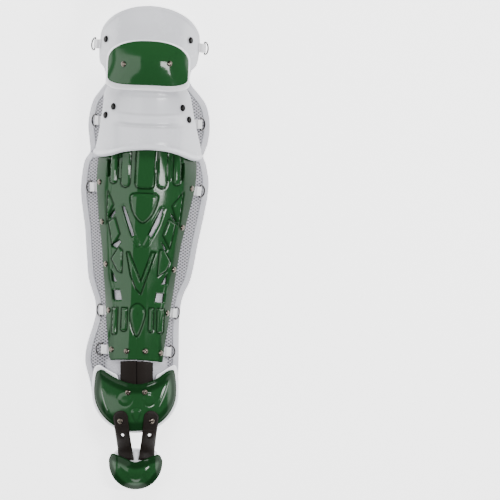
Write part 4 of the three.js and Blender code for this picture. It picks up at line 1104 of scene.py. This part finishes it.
# %% Ankle shell, band and padding
ANKLE_MIDDLE, BAND_HALF_WIDTH, BAND_MIDDLE, PAD_RIM = -1.4, 22.4, 1, 2.4


def ankle_patch(low, high, half, centre, pitch, ends, length):
    u, v = shares(2 * half, length, pitch, ends)
    return np.stack(ankle_to_leg(centre + u * half, mix(low(u), high(u), v)), axis=-1)


def ellipse(a, b, ra, rb, turn=0.0):
    angle = np.linspace(0, 2 * math.pi, 20, endpoint=False)
    c, s = math.cos(turn), math.sin(turn)
    return [(a + p * c - q * s, b + p * s + q * c) for p, q in zip(ra * np.cos(angle), rb * np.sin(angle))]


ANKLE_OVALS = [ellipse(-15.1, -51, 9.6, 9.4), ellipse(18, -51, 8.6, 9.4)]
ANKLE_DROP = rounded(
    [(-7, -67.4), (-3.4, -64), (3.8, -64), (7.4, -67.4), (6.4, -74), (0.4, -86), (-5.6, -75)]
)
ANKLE_LEAVES = [ellipse(-42.2, -52, 3.2, 17.5, 0.28), ellipse(37, -44.5, 3.2, 20.5, -0.36)]


def ankle_relief(x, y, d):
    a, b = leg_to_ankle(x, y)
    h = reliefs(
        a, b, (ANKLE_OVALS, 1.0, 4, 0.5, 0.3, 0.9), ([ANKLE_DROP], 1.6, 3, 0.6, 0.5, 0.9),
        (ANKLE_LEAVES, 1.4, 2.6, 0, 0, 1),
    )
    return h - 0.5 * smooth((5.5 - d) / 3)


def painted_shade_border(width, share):
    """Painted shade: a mask that takes the gloss and some colour off a band along the border."""
    return {"groove": lambda x, y, d: share * smooth((width - d) / 5)}


ankle_xy = ankle_patch(
    ankle_bottom, ankle_top, ANKLE_HALF_WIDTH, ANKLE_MIDDLE, 1.15, SHELL_ENDS, ANKLE_LENGTH
)
shell("ankle_shell_wall", ankle_xy, ankle_outer, GREEN, relief=ankle_relief, masks=painted_shade_border(15, 0.65),
      stands_for=["ankle_shell"])
band_high = lambda u: 1.2 - 1.2 * u * u - 0.9 * u
band_xy = ankle_patch(steady(-35), band_high, BAND_HALF_WIDTH, BAND_MIDDLE, 1.2, SHELL_ENDS, 35)
beside_band = lambda x, y: leg_to_ankle(x, y)[0] - BAND_MIDDLE
# The band's mask paints shade into the groove down its middle.
shell("ankle_band_strip", band_xy, plate_outer, BLACK, roll=0.8, stands_for=["ankle_band"],
      relief=lambda x, y, d: groove(beside_band(x, y), 0.6, 0.8),
      masks={"groove": lambda x, y, d: np.exp(-(beside_band(x, y) / 0.8) ** 2)})


def pad_high(u):
    """The ankle padding's upper edge, cut back where the band passes."""
    off_band = np.abs(ANKLE_MIDDLE + u * (ANKLE_HALF_WIDTH + PAD_RIM) - BAND_MIDDLE) - BAND_HALF_WIDTH - 0.8
    return np.minimum(ankle_top(u) + 7 - 24 * (1 - smooth(off_band / 2)), 0)


ankle_pad_xy = ankle_patch(
    lambda u: ankle_bottom(u) - PAD_RIM, pad_high, ANKLE_HALF_WIDTH + PAD_RIM, ANKLE_MIDDLE, 2.6, PAD_ENDS,
    ANKLE_LENGTH,
)
padding(
    0.8, "ankle_padding", ankle_pad_xy, lambda x, y: ankle_over(x, y) - 0.5, on_pad, 2.5, LEATHER,
    seams=lambda x, y, d: (d < 0.3) | (d > 7), stands_for=["ankle_pad"],
)

# %% [markdown]
# ## The toe
# Two moulded black straps with holes hang the toe cap from the ankle shell. The cap is a small green
# bowl over white padding.

# %% Toe cap and its padding
TOE_INSET = 3.5
TOE_FACE = rounded([
    (-25, -138.5), (-13, -145.5), (0, -147.5), (12, -145.5), (23, -139.5), (17, -153), (8.5, -162.5),
    (0, -166.5), (-9.5, -162.5), (-18.5, -153),
])
toe_relief = lambda x, y, d: raised(inside(*leg_to_ankle(x, y), TOE_FACE), 1.3, 6)
u, v = shares(2 * TOE_HALF_WIDTH, TOE_LENGTH, 1.0)
toe_xy = np.stack(ankle_to_leg(-1 + u * TOE_HALF_WIDTH, mix(toe_low(u), toe_top(u), v)), axis=-1)
shell("toe_cap_shell", toe_xy, toe_outer, GREEN, wall=SHELL_WALL * 1.1, relief=toe_relief,
      masks=painted_shade_border(12, 0.7), stands_for=["toe_cap"])
u, v = shares(67, TOE_LENGTH, 2.2, PAD_ENDS)
toe_pad_b = mix(toe_low(u) + TOE_INSET, mix(-119, toe_top(u) - 4, u ** 6), v)
toe_pad_xy = np.stack(ankle_to_leg(-1 + u * (TOE_HALF_WIDTH - TOE_INSET), toe_pad_b), axis=-1)
padding(
    0.6, "toe_padding", toe_pad_xy, lambda x, y: np.maximum(3, toe_pad_top(*leg_to_ankle(x, y))),
    lambda x, y: x * 0, 4.0, LEATHER, stands_for=["toe_pad"],
)

# %% Toe straps
STRAP_TOP, STRAP_REACH, STRAP_WIDTH, STRAP_SPACING, STRAP_HOLE = -67, 68, 20.4, 43, 4.8
STRAP = rows(
    "up centre half",
    (0, 0.64, 1.07), (0.15, 0.71, 1.02), (0.4, 0.815, 0.97), (0.62, 0.91, 0.98), (0.85, 1, 1.01),
    (1, 1, 1.01),
)
foot = STRAP_TOP - STRAP_REACH
u, v = shares(STRAP_WIDTH, STRAP_REACH, 0.9)
b = mix(foot, STRAP_TOP - STRAP_WIDTH / 2 * (1 - dome(u, 2)), v)
off_middle = sized(STRAP, "centre", foot, STRAP_REACH, STRAP_SPACING / 2)(b)
half_width = sized(STRAP, "half", foot, STRAP_REACH, STRAP_WIDTH / 2)(b)
for side, label in zip((-1, 1), SIDES):
    strap_xy = np.stack(ankle_to_leg(side * off_middle + u * half_width, b), axis=-1)
    hole = ellipse(*ankle_to_leg(side * 0.87 * STRAP_SPACING / 2, -101.2), STRAP_HOLE / 2, STRAP_HOLE / 2)
    shell(f"toe_strap_{label}_strip", strap_xy, strap_over, BLACK, wall=2.8, windows=[hole], roll=0.8,
          relief=lambda x, y, d: -0.7 * smooth((2.6 - d) / 1.4), stands_for=[f"toe_strap_{label}"])

# %% [markdown]
# ## Rivets
# Rivets repeat, so Geometry Nodes place them: one point and one direction for each, one head drawn
# once, and an input for its size. The result is made real, because the export keeps no instances.

# %% Where the rivets sit
RIVET_HEAD, BLACK_HEAD, RIVET_INSET, RIVET_GAP = 7.6, 9.4, 4.4, 0.45


def seats_on(surface, half, start, length, *pairs):
    """Seats from shares of a shell's half width and of its length."""
    return [(surface, np.array(share * half), np.array(start + up * length)) for share, up in pairs]


def edge_seats(side, border, *ups):
    ys = [np.array(leg_y(up)) for up in ups]
    return [(plate_outer, border(y) - side * RIVET_INSET, y) for y in ys]


def ankle_seats(surface, *places):
    return [(surface, *map(np.array, ankle_to_leg(a, b))) for a, b in places]


steel_seats = [
    *edge_seats(-1, plate_left, 0.829, 0.644, 0.448, 0.233, 0.051),
    *edge_seats(1, plate_right, 0.815, 0.631, 0.434, 0.23, 0.042),
    *seats_on(plate_outer, PLATE_HALF_WIDTH, *ON_SHIN, (-0.218, 0.046), (0.151, 0.049)),
    *seats_on(cap.z, CAP_HALF_WIDTH, *ON_CAP, (-0.617, 0.44), (0.511, 0.49)),
    *ankle_seats(ankle_outer, (-0.19 * ANKLE_HALF_WIDTH, -31 - 0.125 * ANKLE_LENGTH),
                 (0.21 * ANKLE_HALF_WIDTH, -31 - 0.12 * ANKLE_LENGTH)),
    *ankle_seats(strap_over, (-STRAP_SPACING / 2, STRAP_TOP - 14), (STRAP_SPACING / 2, STRAP_TOP - 14)),
]
black_seats = seats_on(thigh.z, THIGH_HALF_WIDTH, *ON_THIGH, (-0.872, 0.523), (0.802, 0.55)) + seats_on(
    knee_outer, KNEE_HALF_WIDTH, *ON_KNEE, (-0.615, 0.626), (0.642, 0.642), (-0.755, 0.512), (0.765, 0.49)
)
print(len(steel_seats), "steel and", len(black_seats), "black rivets")


# %% The rivet head and its tree
def lathe(profile, sides):
    """Points and quads of a profile turned about z."""
    angle = np.arange(sides) / sides * 2 * math.pi
    c, s = np.cos(angle), np.sin(angle)
    rings = [np.column_stack([r * c, r * s, np.full(sides, float(z))]) for r, z in profile]
    return np.vstack(rings), tube_faces(len(profile), sides)


def placing_tree(name, item, material):
    """Puts a copy of an item on each point, turned to the point's direction."""
    tree = bpy.data.node_groups.new(name, "GeometryNodeTree")
    _, size, _ = (
        tree.interface.new_socket(name=label, in_out=way, socket_type="NodeSocket" + kind)
        for label, way, kind in (
            ("Geometry", "INPUT", "Geometry"), ("Size", "INPUT", "Float"), ("Geometry", "OUTPUT", "Geometry")
        )
    )
    source = add_node(tree, "NodeGroupInput").outputs
    aim, ahead = (
        add_node(tree, "GeometryNodeInputNamedAttribute", {"Name": key}, data_type="FLOAT_VECTOR")
        .outputs["Attribute"] for key in ("aim", "ahead")
    )
    axes = {"Primary Axis": aim, "Secondary Axis": ahead}
    turn = add_node(tree, "FunctionNodeAxesToRotation", axes, primary_axis="Z", secondary_axis="X")
    place = add_node(tree, "GeometryNodeInstanceOnPoints", {
        "Points": source["Geometry"], "Scale": source["Size"], "Rotation": turn.outputs["Rotation"],
        "Instance": add_node(tree, "GeometryNodeObjectInfo", {"Object": item}).outputs["Geometry"],
    })
    real = add_node(tree, "GeometryNodeRealizeInstances", {"Geometry": place.outputs["Instances"]})
    painted = {"Geometry": real.outputs["Geometry"], "Material": material}
    paint = add_node(tree, "GeometryNodeSetMaterial", painted)
    add_node(tree, "NodeGroupOutput", {"Geometry": paint.outputs["Geometry"]})
    return tree, size.identifier


def place_items(name, item, material, seats, aims, aheads, size=1.0, stands_for=()):
    """One mesh with an item on each seat."""
    data = new_mesh(name + "_seats", seats + SHIFT, [])
    for key, values in (("aim", aims), ("ahead", aheads)):
        layer = data.attributes.new(key, "FLOAT_VECTOR", "POINT")
        layer.data.foreach_set("vector", np.asarray(values, np.float32).ravel())
    carrier = new_object(name + "_seats", data)
    nodes = carrier.modifiers.new("placing", "NODES")
    nodes.node_group, identifier = placing_tree(name + "_tree", item, material)
    nodes[identifier] = size
    mesh = bpy.data.meshes.new_from_object(carrier.evaluated_get(bpy.context.evaluated_depsgraph_get()))
    mesh.name = name
    piece = new_object(name, mesh)
    bpy.data.objects.remove(carrier)
    mesh.set_sharp_from_angle(angle=math.radians(40))
    enter(piece, "root", material["slot"], stands_for)


r = RIVET_HEAD / 2
points, faces = lathe([
    (0.001, -1.2), (r * 0.5, -1.2), (r * 0.5, 0), (r * 0.97, 0), (r, 0.18), (r, 0.45), (r * 0.95, 0.75),
    (r * 0.8, 1.2), (r * 0.6, 1.5), (r * 0.42, 1.64), (r * 0.36, 1.62), (r * 0.3, 1.5), (r * 0.12, 1.46),
    (0.001, 1.45),
], 20)
head = new_object("rivet_head", new_mesh("rivet_head", points, faces.tolist()))
for name, seats, material in (
    ("steel_rivets", steel_seats, STEEL), ("black_rivets", black_seats, DARK_RIVET),
):
    ns = np.array([normals(z, x, y) for z, x, y in seats])
    spots = np.array([(x, y, z(x, y)) for z, x, y in seats]) + ns * RIVET_GAP
    ahead = np.cross(np.array([0.0, 1.0, 0.0]), ns)
    ahead /= np.linalg.norm(ahead, axis=1, keepdims=True)
    black = material is DARK_RIVET
    rivets = [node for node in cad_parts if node.startswith("rivet_")]
    stands = [node for node in rivets if ("thigh" in node or "knee" in node) == black]
    place_items(name, head, material, spots, ns, ahead, BLACK_HEAD / RIVET_HEAD if black else 1.0, stands)
bpy.data.objects.remove(head)

# %% Stitches along the binding
STITCH_LENGTH, STITCH_RADIUS, STITCH_PITCH, SIDES_OF_THREAD = 2.9, 0.34, 4.4, 6
angle = np.arange(SIDES_OF_THREAD) / SIDES_OF_THREAD * 2 * math.pi
points = np.vstack([
    np.column_stack([np.full(SIDES_OF_THREAD, t * STITCH_LENGTH / 2), STITCH_RADIUS * np.sin(angle),
                     STITCH_RADIUS * np.cos(angle) + 0.3 - 0.75 * t ** 4])
    for t in np.linspace(-1, 1, 7)
])
faces = tube_faces(7, SIDES_OF_THREAD)[:, ::-1]
thread = new_object("stitch", new_mesh("stitch", points, faces.tolist()))
for name, (seam, ahead, up) in zip(("shin_stitches", "knee_stitches"), binding_seams):
    run = np.concatenate([[0], np.cumsum(np.linalg.norm(ahead, axis=1))])
    picked = np.unique(np.searchsorted(run, np.arange(0, run[-1] - 2, STITCH_PITCH)).clip(0, len(seam) - 1))
    up = up / np.linalg.norm(up, axis=1, keepdims=True)
    place_items(name, thread, THREAD, (seam + up * 0.1)[picked], up[picked], ahead[picked])
bpy.data.objects.remove(thread)

# %% [markdown]
# ## Tabs and rings
# Ten white tabs hold ten wire rings, five on each side. Each tab is a short folded strip with its end
# rolled round the ring's bar. The ring is bent from round wire, so a circle is swept along its path.


# %% Sweeping a wire and folding a tab
TAB_GAP, TAB_LENGTH, TAB_WIDTH = 0.45, 8, 12.4
RING_WIRE, RING_HALF_LENGTH, RING_DEPTH, RING_TILT = 2.0, 8.4, 13.2, math.radians(6)
KNUCKLE = RING_WIRE / 2 + 0.3 + 0.75


def closed_sweep(path, radius, sides=12):
    """Points and quads of a round wire along a closed path in the plane z = 0."""
    ahead = np.roll(path, -1, axis=0) - np.roll(path, 1, axis=0)
    ahead /= np.linalg.norm(ahead, axis=1, keepdims=True)
    out = np.column_stack([ahead[:, 1], -ahead[:, 0]]) * radius
    level = np.full(len(path), radius)
    angle = np.arange(sides) / sides * 2 * math.pi
    rings = [np.column_stack([path + out * math.cos(t), level * math.sin(t)]) for t in angle]
    faces = tube_faces(len(path), sides, closed=True)[:, [0, 3, 2, 1]]
    return np.stack(rings, axis=1).reshape(-1, 3), faces


def ring_path():
    """The ring in its own plane: x away from its bar, y along the bar."""
    h, corner = RING_HALF_LENGTH, 2.2
    bend = [(corner - corner * math.cos(t), h - corner + corner * math.sin(t))
            for t in np.linspace(0.3, math.pi / 2 - 0.1, 5)]
    points = [(0, y) for y in np.linspace(-h + corner, h - corner, 10)] + bend
    points += [(corner + (RING_DEPTH - corner) * math.cos(t), h * math.sin(t))
               for t in np.linspace(math.pi / 2, -math.pi / 2, 33)]
    points += [(x, -y) for x, y in bend[::-1]]
    return resampled(np.array(points, float), 0.7)


def tab_profile():
    """The folded strip's outline, seen from its side, with its end rolled over the bar."""
    r, turns = KNUCKLE, np.linspace(-math.pi / 2, math.pi / 2, 13)
    roll = [(TAB_LENGTH + r * math.cos(t), r + r * math.sin(t)) for t in turns]
    back = [(TAB_LENGTH - 2.6, 1.68 * r), (0.5, 1.6 * r), (0, 1.6 * r - 0.5), (-0.4, 0.75), (-4.5, 0.6)]
    return np.array([(-4.5, 0.05), (0, 0)] + roll + back, float)


def loft(profiles):
    """Closed sections joined one after another, with both ends filled by their own middle."""
    count, last = len(profiles[0]), (len(profiles) - 1) * len(profiles[0])
    points = np.vstack(profiles + [profiles[0].mean(axis=0)[None], profiles[-1].mean(axis=0)[None]])
    k = np.arange(count)
    nxt, first_mid = (k + 1) % count, np.full(count, last + count)
    ends = [np.column_stack([nxt, k, first_mid, first_mid]),
            np.column_stack([last + k, last + nxt, first_mid + 1, first_mid + 1])]
    return points, np.vstack([tube_faces(len(profiles), count), *ends])


wire_points, wire_faces = closed_sweep(ring_path(), RING_WIRE / 2)
print("ring:", len(wire_faces), "faces")

# %% Tabs and rings in place
PLATE_SIDES = (plate_left, plate_right)
TAB_PLACES = {
    "thigh": ((thigh.left, thigh.right), thigh.z, THIGH_BOTTOM + 0.455 * THIGH_LENGTH),
    "knee": ((knee_left, knee_right), leg.z, KNEE_LIP + 0.44 * KNEE_LENGTH),
    "calf": (PLATE_SIDES, leg.z, leg_y(0.805)),
    "shin": (PLATE_SIDES, leg.z, leg_y(0.232)),
    "foot": (PLATE_SIDES, leg.z, leg_y(0.05)),
}


def surface_frame(border, under_tab, y, side):
    """A tab's seat on a border, with its directions outward, up and along."""
    y = np.array(float(y))
    x = border(y) + side * TAB_GAP
    dx, dy = slopes(under_tab, x, y, 1.0)
    n = np.array([-dx, -dy, 1.0])
    n /= np.linalg.norm(n)
    bar = np.array([0.0, 1.0, 0.0]) - n * n[1]
    bar /= np.linalg.norm(bar)
    return np.array([x, y, under_tab(x, y)]) + n * TAB_GAP, np.cross(bar, n) * side, n, bar


def folded_tab(name, seat, out, n, along):
    line, sections = tab_profile(), []
    steps = [(-1, 0, 0.45), (-1, 0.13, 0.13), (-1, 0.45, 0), (1, 0.45, 0), (1, 0.13, 0.13), (1, 0, 0.45)]
    for end, from_end, by in steps:
        w = end * (TAB_WIDTH / 2 - from_end)
        drawn_in = line + inward(line) * by
        sections.append(seat + drawn_in[:, :1] * out + drawn_in[:, 1:] * n + w * along)
    points, faces = loft(sections)
    data = new_mesh("tab", points + SHIFT, [list(dict.fromkeys(face)) for face in faces.tolist()])
    tab = bmesh.new()
    tab.from_mesh(data)
    bmesh.ops.recalc_face_normals(tab, faces=tab.faces)
    tab.to_mesh(data)
    tab.free()
    data.set_sharp_from_angle(angle=math.radians(40))
    data.materials.append(TAB)
    enter(new_object(f"folded_{name}", data), "root", "tab_white", [name])


for place, (borders, under_tab, y) in TAB_PLACES.items():
    for side, label, border in zip((-1, 1), SIDES, borders):
        seat, out, n, bar = surface_frame(border, under_tab, y, side)
        folded_tab(f"tab_{place}_{label}", seat, out, n, -side * bar)
        axis = seat + out * TAB_LENGTH + n * KNUCKLE
        along = out * math.cos(RING_TILT) - n * math.sin(RING_TILT)
        placed = axis + wire_points @ np.stack([along, bar, np.cross(along, bar)])
        finish_mesh(f"wire_ring_{place}_{label}", placed, wire_faces, WIRE, body=f"ring_{place}_{label}",
                    stands_for=[f"ring_{place}_{label}"])

# %% [markdown]
# ## Floor and light
# The photograph has a white ground, a large soft light on the left and a small one on the right. The
# floor glows a little, so that it fills the shadows. Two soft boxes give the reflections on the gloss,
# low lights at the sides show the flanks, and lights past the two ends brighten the slopes there. The
# end lights aren't mirrored, as their edges would show.

# %% Floor
FLOOR_SIZE, FLOOR_DROP = 10, 0.0005
floor_data = bpy.data.meshes.new("floor")
reach = FLOOR_SIZE / 2
corners = [(-reach, -reach, 0), (reach, -reach, 0), (reach, reach, 0), (-reach, reach, 0)]
floor_data.from_pydata(corners, [], [(0, 1, 2, 3)])
floor_data.materials.append(finish(
    "pale_floor", "padding_white", Base_Color=(0.93, 0.93, 0.93, 1), Roughness=0.9,
    Emission_Color=(1, 1, 1, 1), Emission_Strength=2.0,
)[0])
floor = new_object("floor", floor_data)
floor.location.z = -FLOOR_DROP


# %% Lights
def soft_box(name, place, aim_y, width, height, power, mirrored=True):
    light = bpy.data.lights.new(name, "AREA")
    light.shape, light.size, light.size_y, light.energy = "RECTANGLE", width, height, power
    box = new_object(name, light)
    box.location, box.visible_glossy = place, mirrored
    box.rotation_euler = (Vector((0, aim_y, 0.05)) - Vector(place)).to_track_quat("-Z", "Y").to_euler()


soft_box("soft_box_left", (-1.25, -0.1, 1.15), -0.05, 1.2, 2.2, 26)
soft_box("soft_box_right", (0.95, -0.04, 1.2), 0.05, 0.34, 0.62, 20)
soft_box("side_left", (-2.0, 0, 0.55), 0, 0.8, 2.4, 1.1)
soft_box("side_right", (2.0, 0, 0.6), 0, 0.8, 2.4, 0.4)
soft_box("end_light_top", (0, 2.1, 1.4), 0, 2.4, 0.8, 92, False)
soft_box("end_light_foot", (0, -2.1, 1.4), 0, 2.4, 0.8, 26, False)
world = bpy.data.worlds.new("studio")
bpy.context.scene.world = world
world.use_nodes = True
sky = world.node_tree.nodes["Background"].inputs
sky["Color"].default_value, sky["Strength"].default_value = (1, 1, 1, 1), 0.1
print("lights:", len(bpy.data.lights))
